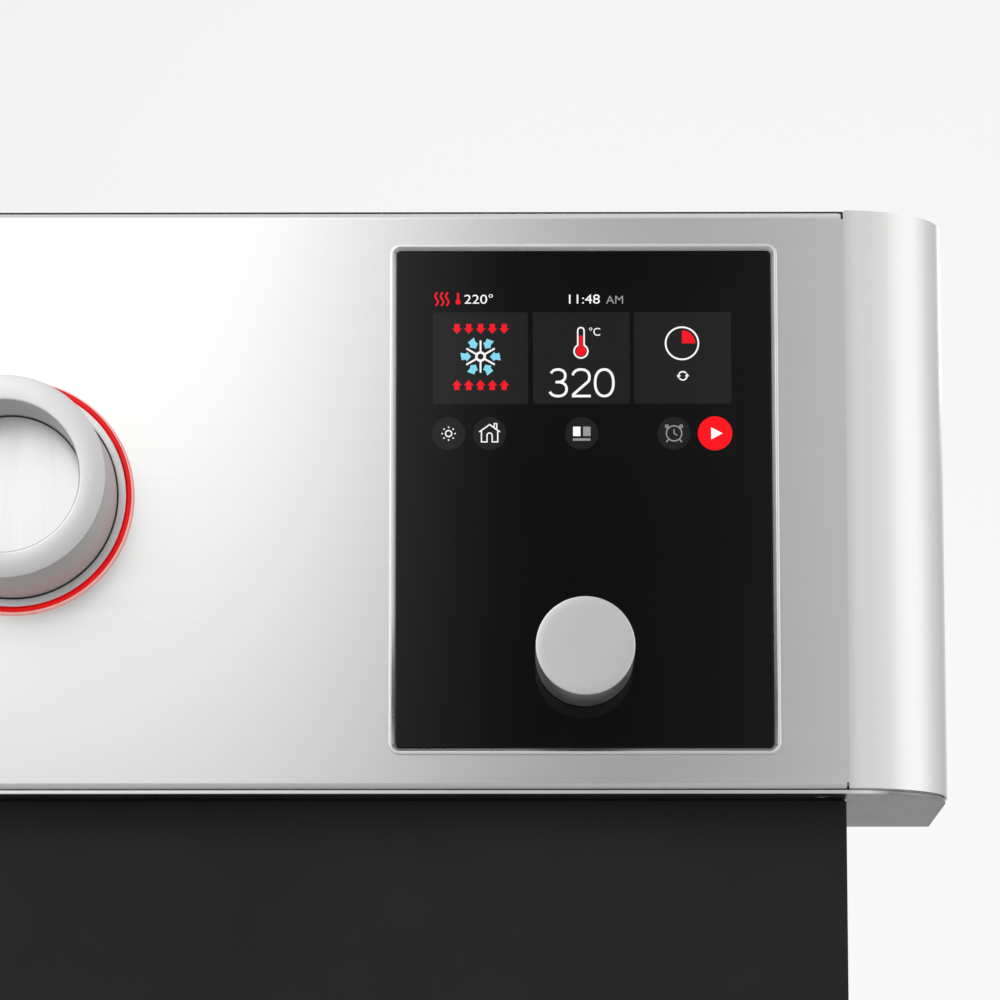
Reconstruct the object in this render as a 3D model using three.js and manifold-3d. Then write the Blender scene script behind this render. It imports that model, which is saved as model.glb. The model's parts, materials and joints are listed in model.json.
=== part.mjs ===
// Control panel of a range cooker: a folded steel fascia that carries a touch display with a push-and-turn
// selector knob on the right, and a lit gas control with a ring-shaped knob on the left.
//
// Millimetres. +X is to the user's right, +Y is into the cooker, +Z is up. The origin is the middle of the
// base plate's front strip, on its underside. Inside each group y = 0 is the front face of the fascia and
// z = 0 is its lower edge.
import * as THREE from "three";
import { mergeVertices } from "three/addons/utils/BufferGeometryUtils.js";
import Module from "manifold-3d";

const wasm = await Module();
wasm.setup();

// ---------------------------------------------------------------- driving dimensions

const GAP = 0.1; // clearance between pieces that touch

// Fascia, folded from one sheet
const PANEL_WIDTH = 400;
const PANEL_HEIGHT = 180; // of the fascia, without the base plate under it
const PANEL_DEPTH = 100;
const SHEET = 1.2;
const CORNER_RADIUS = 32;
const BEND_RADIUS = 2;
const FLANGE_DEPTH = 18;
const RELIEF_WIDTH = 0.7; // slot that frees a flange from the rounded corner
const RELIEF_HEIGHT = 2.2;
const EDGE_LIFT = 0.4; // the corner's raw lower edge stops this far above the flange
const TOP_STEP = 0.6; // the upper flange lies this far below the corner's raw upper edge
const BASE_PLATE = 1.1;

// The two controls, on the fascia's centre line
const MODULE_X = 87.5;
const BURNER_X = -87;
const MIDDLE_Z = PANEL_HEIGHT / 2;

// Display module, in the plane of the fascia
const RIM_WIDTH = 119.6;
const RIM_HEIGHT = 158.6;
const RIM_RADIUS = 3.4;
const RIM_STAND = 0.9; // how far the rim stands in front of the fascia
const RIM_BAND = 2; // visible width of the rim
const RIM_WALL_INSET = 1.3;
const CUT_OUT_INSET = 1.1;
const LEDGE_INSET = 5.5;
const GLASS_FRONT = 0.6;
const GLASS_THICKNESS = 3;
const HOUSING_WIDTH = 113.8;
const HOUSING_HEIGHT = 152.8;
const HOUSING_WALL = 1.8;
const SCREEN_Z = 40.3; // display centre above the module's centre
const SELECTOR_Z = -49.7; // selector knob's axis below it
const BOARD_FRONT = 18.1;
const BOARD_THICKNESS = 1.6;
const COVER_BACK = 32;
const COLUMN_X = 50.2;
const COLUMN_Z = 70;
const CLAMP_SCREW_X = 48;

// Selector knob and its encoder
const SELECTOR_RADIUS = 15;
const SELECTOR_LENGTH = 27.5;
const SELECTOR_TRAVEL = 1; // push
const SHAFT_RADIUS = 3;

// Gas control
const RING_RADIUS = 31.5; // knob, at its rear edge
const RING_BORE = 23;
const RING_FRONT = 41; // knob's front, measured from the fascia
const RING_TRAVEL = 3.5; // push
const LIGHT_RADIUS = 36.2;
const FASCIA_HOLE = 36.5;
const STUD_X = 46;
const STUD_END = 15;
const STEM_RADIUS = 4;
const CHAMBER_RADIUS = 7.7;
const OUTLET_Y = 36;
const INLET_Y = 29;

// ---------------------------------------------------------------- materials

function finish(color, roughness, metalness) {
  return new THREE.MeshStandardMaterial({ color, roughness, metalness });
}

const MATERIALS = {
  brushedSteel: finish("#c9c9c8", 0.35, 1),
  polishedSteel: finish("#e4e4e4", 0.08, 1),
  zincSteel: finish("#a9abab", 0.45, 1),
  blackGlass: finish("#0d0d0d", 0.06, 0),
  screen: finish("#161616", 0.2, 0),
  satinAluminium: finish("#c4c4c4", 0.35, 1),
  castAluminium: finish("#9c9c9a", 0.6, 1),
  blackPlastic: finish("#1b1b1b", 0.6, 0),
  whitePlastic: finish("#e8e6df", 0.5, 0),
  board: finish("#1d5c38", 0.5, 0),
  chip: finish("#141414", 0.4, 0),
  redLight: finish("#e3120b", 0.3, 0),
  brass: finish("#b8923f", 0.35, 1),
  rubber: finish("#111111", 0.9, 0),
};

// ---------------------------------------------------------------- solids

// A closed geometry as a solid. One that was drawn or mirrored inside out is turned the right way.
function toSolid(geometry) {
  const bare = new THREE.BufferGeometry().setAttribute("position", geometry.getAttribute("position"));
  if (geometry.index) bare.setIndex(geometry.index);
  const merged = mergeVertices(bare, 1e-4);
  const corners = [];
  for (let i = 0; i < merged.index.count; i += 3) {
    const [a, b, c] = [0, 1, 2].map((k) => merged.index.getX(i + k));
    if (a !== b && b !== c && c !== a) corners.push(a, b, c);
  }
  const vertProperties = merged.attributes.position.array;
  const build = (order) => {
    const triVerts = Uint32Array.from(order);
    return new wasm.Manifold(new wasm.Mesh({ numProp: 3, vertProperties, triVerts }));
  };
  const solid = build(corners);
  return solid.volume() > 0 ? solid : build(corners.reverse());
}

function toGeometry(solid) {
  const mesh = solid.getMesh();
  const geometry = new THREE.BufferGeometry();
  geometry.setAttribute("position", new THREE.BufferAttribute(mesh.vertProperties, 3));
  geometry.setIndex(new THREE.BufferAttribute(mesh.triVerts, 1));
  geometry.computeVertexNormals();
  return geometry;
}

const join = (...solids) => solids.reduce((sum, solid) => sum.add(solid));
const cut = (solid, ...tools) => tools.reduce((rest, tool) => rest.subtract(tool), solid);
const mirrorX = (solid) => toSolid(toGeometry(solid).scale(-1, 1, 1));

function box([x0, x1], [y0, y1], [z0, z1]) {
  const geometry = new THREE.BoxGeometry(x1 - x0, y1 - y0, z1 - z0);
  return toSolid(geometry.translate((x0 + x1) / 2, (y0 + y1) / 2, (z0 + z1) / 2));
}

// A rod along Y. Six sides make a hexagon for nuts.
function rodY(radius, [y0, y1], [x, z] = [0, 0], sides = 24) {
  const geometry = new THREE.CylinderGeometry(radius, radius, y1 - y0, sides);
  return toSolid(geometry.translate(x, (y0 + y1) / 2, z));
}

function rodZ(radius, [z0, z1], [x, y] = [0, 0], sides = 24) {
  const geometry = new THREE.CylinderGeometry(radius, radius, z1 - z0, sides).rotateX(Math.PI / 2);
  return toSolid(geometry.translate(x, y, (z0 + z1) / 2));
}

// A piece turned about the Y axis. The profile lists [radius, y] and closes on itself or on the axis.
function turned(profile, sides = 32) {
  const closed = profile[0][0] > 0 ? [...profile, profile[0]] : profile;
  return toSolid(new THREE.LatheGeometry(closed.map(([r, y]) => new THREE.Vector2(r, y)), sides));
}

// Extrusions of a flat shape: drawn in X and Z and run along Y, in X and Y along Z, or in Y and Z along X.
function alongY(shape, [y0, y1], curveSegments = 5) {
  const geometry = new THREE.ExtrudeGeometry(shape, { depth: y1 - y0, bevelEnabled: false, curveSegments });
  return toSolid(geometry.rotateX(Math.PI / 2).translate(0, y1, 0));
}

function alongZ(shape, [z0, z1], curveSegments = 5) {
  const geometry = new THREE.ExtrudeGeometry(shape, { depth: z1 - z0, bevelEnabled: false, curveSegments });
  return toSolid(geometry.translate(0, 0, z0));
}

function alongX(shape, [x0, x1], curveSegments = 5) {
  const geometry = new THREE.ExtrudeGeometry(shape, { depth: x1 - x0, bevelEnabled: false, curveSegments });
  const turn = new THREE.Matrix4().makeBasis(
    new THREE.Vector3(0, 1, 0),
    new THREE.Vector3(0, 0, 1),
    new THREE.Vector3(1, 0, 0),
  );
  return toSolid(geometry.applyMatrix4(turn).translate(x0, 0, 0));
}

function roundedRect(width, height, radius, [x, z] = [0, 0]) {
  const [right, top] = [x + width / 2 - radius, z + height / 2 - radius];
  const [left, bottom] = [x - width / 2 + radius, z - height / 2 + radius];
  const shape = new THREE.Shape();
  shape.absarc(right, bottom, radius, -Math.PI / 2, 0);
  shape.absarc(right, top, radius, 0, Math.PI / 2);
  shape.absarc(left, top, radius, Math.PI / 2, Math.PI);
  shape.absarc(left, bottom, radius, Math.PI, (3 * Math.PI) / 2);
  shape.closePath();
  return shape;
}

function withHoles(shape, holes) {
  for (const { at, radius } of holes) {
    shape.holes.push(new THREE.Path().absarc(at[0], at[1], radius, 0, 2 * Math.PI, true));
  }
  return shape;
}

// A frame swept round a rounded rectangle. The closed profile lists [inset from the outer edge, y].
function sweptFrame(width, height, radius, profile) {
  const arcSteps = 5;
  const outline = (inset) =>
    roundedRect(width - 2 * inset, height - 2 * inset, Math.max(radius - inset, 0.5)).getPoints(arcSteps);
  const clean = (points) => points.filter((p, i) => p.distanceTo(points[(i + 1) % points.length]) > 1e-6);
  const rings = profile.map(([inset]) => clean(outline(inset)));
  const count = rings[0].length;
  const positions = rings.flatMap((ring, i) => ring.flatMap((p) => [p.x, profile[i][1], p.y]));
  const index = [];
  rings.forEach((_, i) => {
    const next = (i + 1) % rings.length;
    for (let j = 0; j < count; j++) {
      const after = (j + 1) % count;
      const [a, b, c, d] = [i * count + j, next * count + j, next * count + after, i * count + after];
      index.push(a, b, c, a, c, d);
    }
  });
  const geometry = new THREE.BufferGeometry();
  geometry.setAttribute("position", new THREE.Float32BufferAttribute(positions, 3));
  return toSolid(geometry.setIndex(index));
}

// A tray that opens towards the front: an outer box with a smaller one cut out of it.
function tray(width, height, [y0, y1], wall, floor, radius) {
  const pocket = roundedRect(width - 2 * wall, height - 2 * wall, Math.max(radius - wall, 0.5));
  return cut(alongY(roundedRect(width, height, radius), [y0, y1]), alongY(pocket, [y0 - 1, y1 - floor]));
}

// A round rod with one flat, as a knob shaft has, and the hole that it goes in.
function flattedRod(radius, span, sides = 24) {
  const flat = box([0.8 * radius, 2 * radius], [span[0] - 1, span[1] + 1], [-radius, radius]);
  return cut(rodY(radius, span, [0, 0], sides), flat);
}

// A screw along Y with a pan head. The head's underside is at y = seat and the shank runs towards tip.
function screw(at, seat, tip, headRadius, shankRadius) {
  const outwards = Math.sign(seat - tip);
  const headEnd = seat + outwards * headRadius * 0.75;
  const head = rodY(headRadius, [Math.min(seat, headEnd), Math.max(seat, headEnd)], at, 12);
  const overlap = seat + outwards * 0.5;
  const shank = rodY(shankRadius, [Math.min(tip, overlap), Math.max(tip, overlap)], at, 8);
  const depth = headRadius * 0.35;
  const slot = [headEnd - outwards * depth, headEnd + outwards];
  const drive = rodY(headRadius * 0.5, [Math.min(...slot), Math.max(...slot)], at, 6);
  return cut(join(head, shank), drive);
}

function mesh(name, solid, material) {
  const made = new THREE.Mesh(toGeometry(solid), MATERIALS[material]);
  made.name = name;
  return made;
}

// ---------------------------------------------------------------- fascia

// Plan of one rounded end: from the flat front, round the corner and back along the side.
function endStrip(inset, thickness, front, back) {
  const shape = new THREE.Shape();
  const [cx, cy] = [PANEL_WIDTH / 2 - CORNER_RADIUS, CORNER_RADIUS];
  const outer = CORNER_RADIUS - inset;
  shape.moveTo(front, inset);
  shape.absarc(cx, cy, outer, -Math.PI / 2, 0);
  shape.lineTo(cx + outer, back);
  shape.lineTo(cx + outer - thickness, back);
  shape.absarc(cx, cy, outer - thickness, 0, -Math.PI / 2, true);
  shape.lineTo(front, inset + thickness);
  shape.closePath();
  return shape;
}

// Section of the flat middle: the front wall with a flange folded back at the top and at the bottom.
function channelSection() {
  const top = PANEL_HEIGHT - TOP_STEP;
  const [low, high] = [BEND_RADIUS, top - BEND_RADIUS];
  const inner = BEND_RADIUS - SHEET;
  const shape = new THREE.Shape();
  shape.moveTo(FLANGE_DEPTH, 0);
  shape.absarc(BEND_RADIUS, low, BEND_RADIUS, -Math.PI / 2, -Math.PI, true);
  shape.absarc(BEND_RADIUS, high, BEND_RADIUS, Math.PI, Math.PI / 2, true);
  shape.lineTo(FLANGE_DEPTH, top);
  shape.lineTo(FLANGE_DEPTH, top - SHEET);
  shape.absarc(BEND_RADIUS, high, inner, Math.PI / 2, Math.PI);
  shape.absarc(BEND_RADIUS, low, inner, Math.PI, (3 * Math.PI) / 2);
  shape.lineTo(FLANGE_DEPTH, SHEET);
  shape.closePath();
  return shape;
}

const FLAT_END = PANEL_WIDTH / 2 - CORNER_RADIUS - RELIEF_WIDTH - 0.2; // where the flanges stop, each side
const SCREW_TAB_X = FLAT_END - 7; // bracket screws, through both flanges
const SCREW_TAB_Y = 10;
const BASE_INSET = 0.6; // base plate's edge, behind the fascia's face
const BRACKET = { plate: 1.5, innerX: FLAT_END + RELIEF_WIDTH + 0.4, web: 1.5, rearWidth: 21 };

function fasciaPanel() {
  const middle = alongX(channelSection(), [-FLAT_END - RELIEF_WIDTH, FLAT_END + RELIEF_WIDTH]);
  const seam = FLAT_END + RELIEF_WIDTH - 0.3;
  const end = alongZ(endStrip(0, SHEET, seam, PANEL_DEPTH), [0, PANEL_HEIGHT], 10);
  const below = [-1, EDGE_LIFT];
  const trimmed = cut(end, box([FLAT_END, PANEL_WIDTH], [-1, PANEL_DEPTH + 1], below));
  const studs = [-STUD_X, STUD_X].map((x) => rodY(2, [SHEET - 0.3, STUD_END], [BURNER_X + x, MIDDLE_Z], 12));
  const cutOut = roundedRect(
    RIM_WIDTH - 2 * CUT_OUT_INSET,
    RIM_HEIGHT - 2 * CUT_OUT_INSET,
    RIM_RADIUS - CUT_OUT_INSET,
    [MODULE_X, MIDDLE_Z],
  );
  const reliefs = [-1, 1].flatMap((side) => {
    const x = side > 0 ? [FLAT_END, FLAT_END + RELIEF_WIDTH] : [-FLAT_END - RELIEF_WIDTH, -FLAT_END];
    return [
      box(x, [-1, FLANGE_DEPTH + 1], [-1, RELIEF_HEIGHT]),
      box(x, [-1, FLANGE_DEPTH + 1], [PANEL_HEIGHT - TOP_STEP - RELIEF_HEIGHT, PANEL_HEIGHT + 1]),
    ];
  });
  const screwHoles = [-1, 1].map((side) =>
    rodZ(2.2, [-1, PANEL_HEIGHT + 1], [side * SCREW_TAB_X, SCREW_TAB_Y], 16),
  );
  return cut(
    join(middle, trimmed, mirrorX(trimmed), ...studs),
    alongY(cutOut, [-1, SHEET + 1]),
    rodY(FASCIA_HOLE, [-1, SHEET + 1], [BURNER_X, MIDDLE_Z], 48),
    ...reliefs,
    ...screwHoles,
  );
}

// Plan of the space inside the right-hand end, from x = innerX, set back from the outer face by an inset.
function endPlan(inset, innerX) {
  const shape = new THREE.Shape();
  shape.moveTo(innerX, inset);
  shape.absarc(PANEL_WIDTH / 2 - CORNER_RADIUS, CORNER_RADIUS, CORNER_RADIUS - inset, -Math.PI / 2, 0);
  shape.lineTo(PANEL_WIDTH / 2 - inset, PANEL_DEPTH);
  shape.lineTo(innerX, PANEL_DEPTH);
  shape.closePath();
  return shape;
}

// The plate that closes the panel's underside: a strip under the lower flange and a wing under each end.
function basePlate() {
  const [cx, cy] = [PANEL_WIDTH / 2 - CORNER_RADIUS, CORNER_RADIUS];
  const radius = CORNER_RADIUS - BASE_INSET;
  const shape = new THREE.Shape();
  shape.absarc(cx, cy, radius, -Math.PI / 2, 0);
  shape.lineTo(cx + radius, PANEL_DEPTH);
  shape.lineTo(BRACKET.innerX, PANEL_DEPTH);
  shape.lineTo(BRACKET.innerX, FLANGE_DEPTH);
  shape.lineTo(-BRACKET.innerX, FLANGE_DEPTH);
  shape.lineTo(-BRACKET.innerX, PANEL_DEPTH);
  shape.lineTo(-cx - radius, PANEL_DEPTH);
  shape.absarc(-cx, cy, radius, Math.PI, (3 * Math.PI) / 2);
  shape.closePath();
  const holes = [-1, 1].map((side) => ({ at: [side * SCREW_TAB_X, SCREW_TAB_Y], radius: 2.2 }));
  return alongZ(withHoles(shape, holes), [0, BASE_PLATE], 10);
}

const CHASSIS_HOLE_Z = 50; // holes in the brackets' rear flanges, above and below the middle

// The pressed bracket inside the right-hand end. Its plates stiffen the corner and its rear flange bolts on.
function endBracket() {
  const { plate, innerX, web, rearWidth } = BRACKET;
  const shellInside = PANEL_WIDTH / 2 - SHEET - GAP;
  const wallTop = PANEL_HEIGHT - GAP;
  const tabTop = PANEL_HEIGHT - TOP_STEP - SHEET - GAP;
  const tab = (heights) => box([FLAT_END - 14, innerX + 3], [SHEET + 1.5, FLANGE_DEPTH], heights);
  const body = join(
    alongZ(endPlan(SHEET + GAP, innerX), [GAP, GAP + plate], 10),
    alongZ(endPlan(SHEET + GAP, innerX), [wallTop - plate, wallTop], 10),
    box([shellInside - web, shellInside], [CORNER_RADIUS, PANEL_DEPTH], [GAP, wallTop]),
    box([shellInside - rearWidth, shellInside], [PANEL_DEPTH - web, PANEL_DEPTH], [GAP, wallTop]),
    tab([SHEET + GAP, SHEET + GAP + plate]),
    tab([tabTop - plate, tabTop]),
    box([innerX, innerX + 3], [SHEET + 1.5, FLANGE_DEPTH], [tabTop - plate, wallTop]),
  );
  const holeX = shellInside - rearWidth / 2;
  const chassisHoles = [-CHASSIS_HOLE_Z, CHASSIS_HOLE_Z].map((dz) =>
    rodY(2.6, [PANEL_DEPTH - 3, PANEL_DEPTH + 1], [holeX, MIDDLE_Z + dz], 16),
  );
  return cut(body, rodZ(2.2, [-1, PANEL_HEIGHT + 1], [SCREW_TAB_X, SCREW_TAB_Y], 16), ...chassisHoles);
}

// The black strip that seals the fascia against the hob, on the upper flange between the two ends.
function hobSeal() {
  const bottom = PANEL_HEIGHT - TOP_STEP + GAP;
  return box([0.5 - FLAT_END, FLAT_END - 0.5], [BEND_RADIUS, FLANGE_DEPTH - 1], [bottom, PANEL_HEIGHT]);
}

// A screw along Z with its head inside the panel. The lower one goes through the base plate, and neither
// stands proud of the flanges.
function flangeScrew(x, headSide) {
  const upperTab = PANEL_HEIGHT - TOP_STEP - SHEET - BRACKET.plate;
  const seat = headSide > 0 ? SHEET + BRACKET.plate + 2 * GAP : upperTab - 2 * GAP;
  const tip = headSide > 0 ? -BASE_PLATE : PANEL_HEIGHT - TOP_STEP - GAP;
  const headEnd = seat + headSide * 2.6;
  const span = (a, b) => [Math.min(a, b), Math.max(a, b)];
  const head = rodZ(3.5, span(seat, headEnd), [x, SCREW_TAB_Y], 12);
  const shank = rodZ(2, span(tip, seat + headSide * 0.5), [x, SCREW_TAB_Y], 10);
  const drive = rodZ(1.8, span(headEnd - headSide * 1.3, headEnd + headSide), [x, SCREW_TAB_Y], 6);
  return cut(join(head, shank), drive);
}

function fascia() {
  const group = new THREE.Group();
  const bracket = endBracket();
  group.add(
    mesh("fascia_panel", fasciaPanel(), "brushedSteel"),
    mesh("right_end_bracket", bracket, "zincSteel"),
    mesh("left_end_bracket", mirrorX(bracket), "zincSteel"),
    mesh("hob_seal", hobSeal(), "rubber"),
  );
  for (const [side, x] of [["left", -SCREW_TAB_X], ["right", SCREW_TAB_X]]) {
    group.add(mesh(`${side}_bracket_lower_screw`, flangeScrew(x, 1), "zincSteel"));
    group.add(mesh(`${side}_bracket_upper_screw`, flangeScrew(x, -1), "zincSteel"));
  }
  return group;
}

// ---------------------------------------------------------------- display module

const GLASS_BACK = GLASS_FRONT + GLASS_THICKNESS;
const LEDGE_FRONT = GLASS_BACK + 0.7;
const LEDGE_BACK = LEDGE_FRONT + 1.5;
const WEB_FRONT = LEDGE_BACK + GAP;
const WEB_BACK = WEB_FRONT + 2;
const BOARD_BACK = BOARD_FRONT + BOARD_THICKNESS;
const CORNERS = [
  ["lower_left", -1, -1],
  ["lower_right", 1, -1],
  ["upper_left", -1, 1],
  ["upper_right", 1, 1],
];

function displayRim() {
  const edge = 0.5; // radius of the outer front edge
  return sweptFrame(RIM_WIDTH, RIM_HEIGHT, RIM_RADIUS, [
    [0, -GAP],
    [0, -RIM_STAND + edge],
    [edge * 0.3, -RIM_STAND + edge * 0.3],
    [edge, -RIM_STAND],
    [edge + 0.4, -RIM_STAND],
    [RIM_BAND, GLASS_FRONT - GAP],
    [RIM_BAND, LEDGE_FRONT],
    [LEDGE_INSET, LEDGE_FRONT],
    [LEDGE_INSET, LEDGE_BACK],
    [RIM_BAND + 0.6, LEDGE_BACK],
    [RIM_BAND + 0.6, 9],
    [RIM_WALL_INSET, 9],
    [RIM_WALL_INSET, -GAP],
  ]);
}

function frontGlass() {
  const clearance = RIM_BAND + 0.15;
  const outline = roundedRect(RIM_WIDTH - 2 * clearance, RIM_HEIGHT - 2 * clearance, 1.3);
  const shaftHole = { at: [0, SELECTOR_Z], radius: 4.75 };
  return alongY(withHoles(outline, [shaftHole]), [GLASS_FRONT, GLASS_BACK], 8);
}

function glassSeal() {
  const [outer, inner] = [RIM_BAND + 0.3, LEDGE_INSET - 0.3];
  const [front, back] = [GLASS_BACK + GAP, LEDGE_FRONT - GAP];
  return sweptFrame(RIM_WIDTH, RIM_HEIGHT, RIM_RADIUS, [
    [outer, front],
    [inner, front],
    [inner, back],
    [outer, back],
  ]);
}

const SCREEN = { width: 103.6, height: 64.6, front: GLASS_BACK + 0.9, thickness: 1.5 };
const TRAY = { width: 105.6, height: 66.4, back: 8.4 };

function touchSensor() {
  return box([-51.5, 51.5], [GLASS_BACK + GAP, GLASS_BACK + 0.8], [SCREEN_Z - 31, SCREEN_Z + 31]);
}

function lcdPanel() {
  const { width, height, front, thickness } = SCREEN;
  const [bottom, top] = [SCREEN_Z - height / 2, SCREEN_Z + height / 2];
  return box([-width / 2, width / 2], [front, front + thickness], [bottom, top]);
}

function backlightTray() {
  const { width, height, back } = TRAY;
  const outline = roundedRect(width, height, 1, [0, SCREEN_Z]);
  const pocket = roundedRect(SCREEN.width + 0.6, SCREEN.height + 0.4, 0.5, [0, SCREEN_Z]);
  const pocketFloor = SCREEN.front + SCREEN.thickness + GAP;
  return cut(alongY(outline, [SCREEN.front + GAP, back]), alongY(pocket, [SCREEN.front, pocketFloor]));
}

function moduleCarrier() {
  const outline = roundedRect(HOUSING_WIDTH, HOUSING_HEIGHT, 2);
  const inside = roundedRect(HOUSING_WIDTH - 2 * HOUSING_WALL, HOUSING_HEIGHT - 2 * HOUSING_WALL, 0.5);
  const window = roundedRect(TRAY.width + 0.6, TRAY.height + 0.6, 1, [0, SCREEN_Z]);
  const shell = cut(
    alongY(outline, [WEB_FRONT, BOARD_FRONT - GAP]),
    alongY(inside, [WEB_BACK, BOARD_FRONT + 1]),
    alongY(window, [WEB_FRONT - 1, WEB_BACK + 1]),
  );
  const bosses = CORNERS.flatMap(([, sx, sz]) => {
    const x = [sx * COLUMN_X, sx * (HOUSING_WIDTH / 2 - 0.5)].sort((a, b) => a - b);
    const z = sz * COLUMN_Z;
    const span = [TRAY.back + 0.2, BOARD_FRONT - GAP];
    return [rodY(3.4, span, [sx * COLUMN_X, z], 16), box(x, span, [z - 1, z + 1])];
  });
  const pilots = CORNERS.map(([, sx, sz]) =>
    rodY(1.6, [TRAY.back, BOARD_FRONT + 1], [sx * COLUMN_X, sz * COLUMN_Z], 12),
  );
  const ribbonSlot = box([-14, 14], [WEB_FRONT - 1, WEB_BACK + 1], [1.5, 7.5]);
  const bushingHole = rodY(3.7, [WEB_FRONT - 1, WEB_BACK + 1], [0, SELECTOR_Z]);
  return cut(join(shell, ...bosses), ...pilots, ribbonSlot, bushingHole);
}

function mainBoard() {
  const holes = CORNERS.map(([, sx, sz]) => ({ at: [sx * COLUMN_X, sz * COLUMN_Z], radius: 1.8 }));
  return alongY(withHoles(roundedRect(108.6, 147.4, 1), holes), [BOARD_FRONT, BOARD_BACK], 4);
}

// Sockets on the board's rear: centre x and z, width, height.
const SUPPLY = { x: -18, z: -58, width: 26, height: 8 };
const BUS = { x: -36, z: -22, width: 13, height: 5.4 };
const SOCKET_WALL = 0.9;
const VENTS = { count: 7, pitch: 6, length: 34, width: 2.4 };

function socket({ x, z, width, height }) {
  const block = (inset, span) => {
    const [w, h] = [width / 2 - inset, height / 2 - inset];
    return box([x - w, x + w], span, [z - h, z + h]);
  };
  return cut(block(0, [BOARD_BACK + GAP, COVER_BACK + 0.4]), block(SOCKET_WALL, [24, COVER_BACK + 1]));
}

function rearCover() {
  const shell = tray(HOUSING_WIDTH, HOUSING_HEIGHT, [BOARD_FRONT, COVER_BACK], HOUSING_WALL, 2, 2);
  const columns = CORNERS.map(([, sx, sz]) =>
    rodY(3.8, [BOARD_BACK + GAP, COVER_BACK - 1], [sx * COLUMN_X, sz * COLUMN_Z], 16),
  );
  const clampBosses = [-1, 1].map((side) => rodY(3, [26, COVER_BACK - 1], [side * CLAMP_SCREW_X, 0], 16));
  const screwBores = CORNERS.flatMap(([, sx, sz]) => [
    rodY(1.8, [BOARD_FRONT, COVER_BACK + 1], [sx * COLUMN_X, sz * COLUMN_Z], 12),
    rodY(3.1, [COVER_BACK - 3, COVER_BACK + 1], [sx * COLUMN_X, sz * COLUMN_Z], 16),
  ]);
  const clampBores = [-1, 1].map((side) => rodY(1.6, [25, COVER_BACK + 1], [side * CLAMP_SCREW_X, 0], 12));
  const windows = [SUPPLY, BUS].map(({ x, z, width, height }) => {
    const [w, h] = [width / 2 + 0.4, height / 2 + 0.4];
    return box([x - w, x + w], [COVER_BACK - 3, COVER_BACK + 1], [z - h, z + h]);
  });
  const vents = Array.from({ length: VENTS.count }, (_, i) => {
    const z = SCREEN_Z + (i - (VENTS.count - 1) / 2) * VENTS.pitch;
    const slot = roundedRect(VENTS.length, VENTS.width, VENTS.width / 2 - 0.05, [0, z]);
    return alongY(slot, [COVER_BACK - 3, COVER_BACK + 1], 2);
  });
  return cut(join(shell, ...columns, ...clampBosses), ...screwBores, ...clampBores, ...windows, ...vents);
}

// The flat cable from the screen's lower edge, through the slot in the carrier, to the board.
function lcdRibbon() {
  const thickness = 0.3;
  const top = SCREEN_Z - TRAY.height / 2 - GAP;
  const shape = new THREE.Shape();
  shape.moveTo(6.6, top);
  shape.lineTo(6.6, top - 2.2);
  shape.lineTo(16.6, top - 3.4);
  shape.lineTo(BOARD_FRONT - GAP - 0.4, -9);
  shape.lineTo(BOARD_FRONT - GAP - 0.4, -16);
  shape.lineTo(BOARD_FRONT - GAP, -16);
  shape.lineTo(BOARD_FRONT - GAP, -9);
  shape.lineTo(16.6 + 2 * thickness, top - 3.4 + thickness);
  shape.lineTo(6.6 + thickness, top - 2.2 + thickness);
  shape.lineTo(6.6 + thickness, top);
  shape.closePath();
  return alongX(shape, [-12, 12]);
}

// The hook that pulls the module back against the rim: a foot on the fascia, a leg, and a tab with a screw.
function clamp() {
  const legX = RIM_WIDTH / 2 - RIM_WALL_INSET + 0.5;
  const width = [-8, 8];
  const tabFront = COVER_BACK + GAP;
  const strap = join(
    box([legX, legX + 10], [SHEET + GAP, SHEET + GAP + 1.5], width),
    box([legX, legX + 1.5], [SHEET + GAP, tabFront + 1.5], width),
    box([CLAMP_SCREW_X - 5, legX + 1.5], [tabFront, tabFront + 1.5], width),
  );
  return cut(strap, rodY(1.8, [tabFront - 1, tabFront + 3], [CLAMP_SCREW_X, 0], 12));
}

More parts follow.
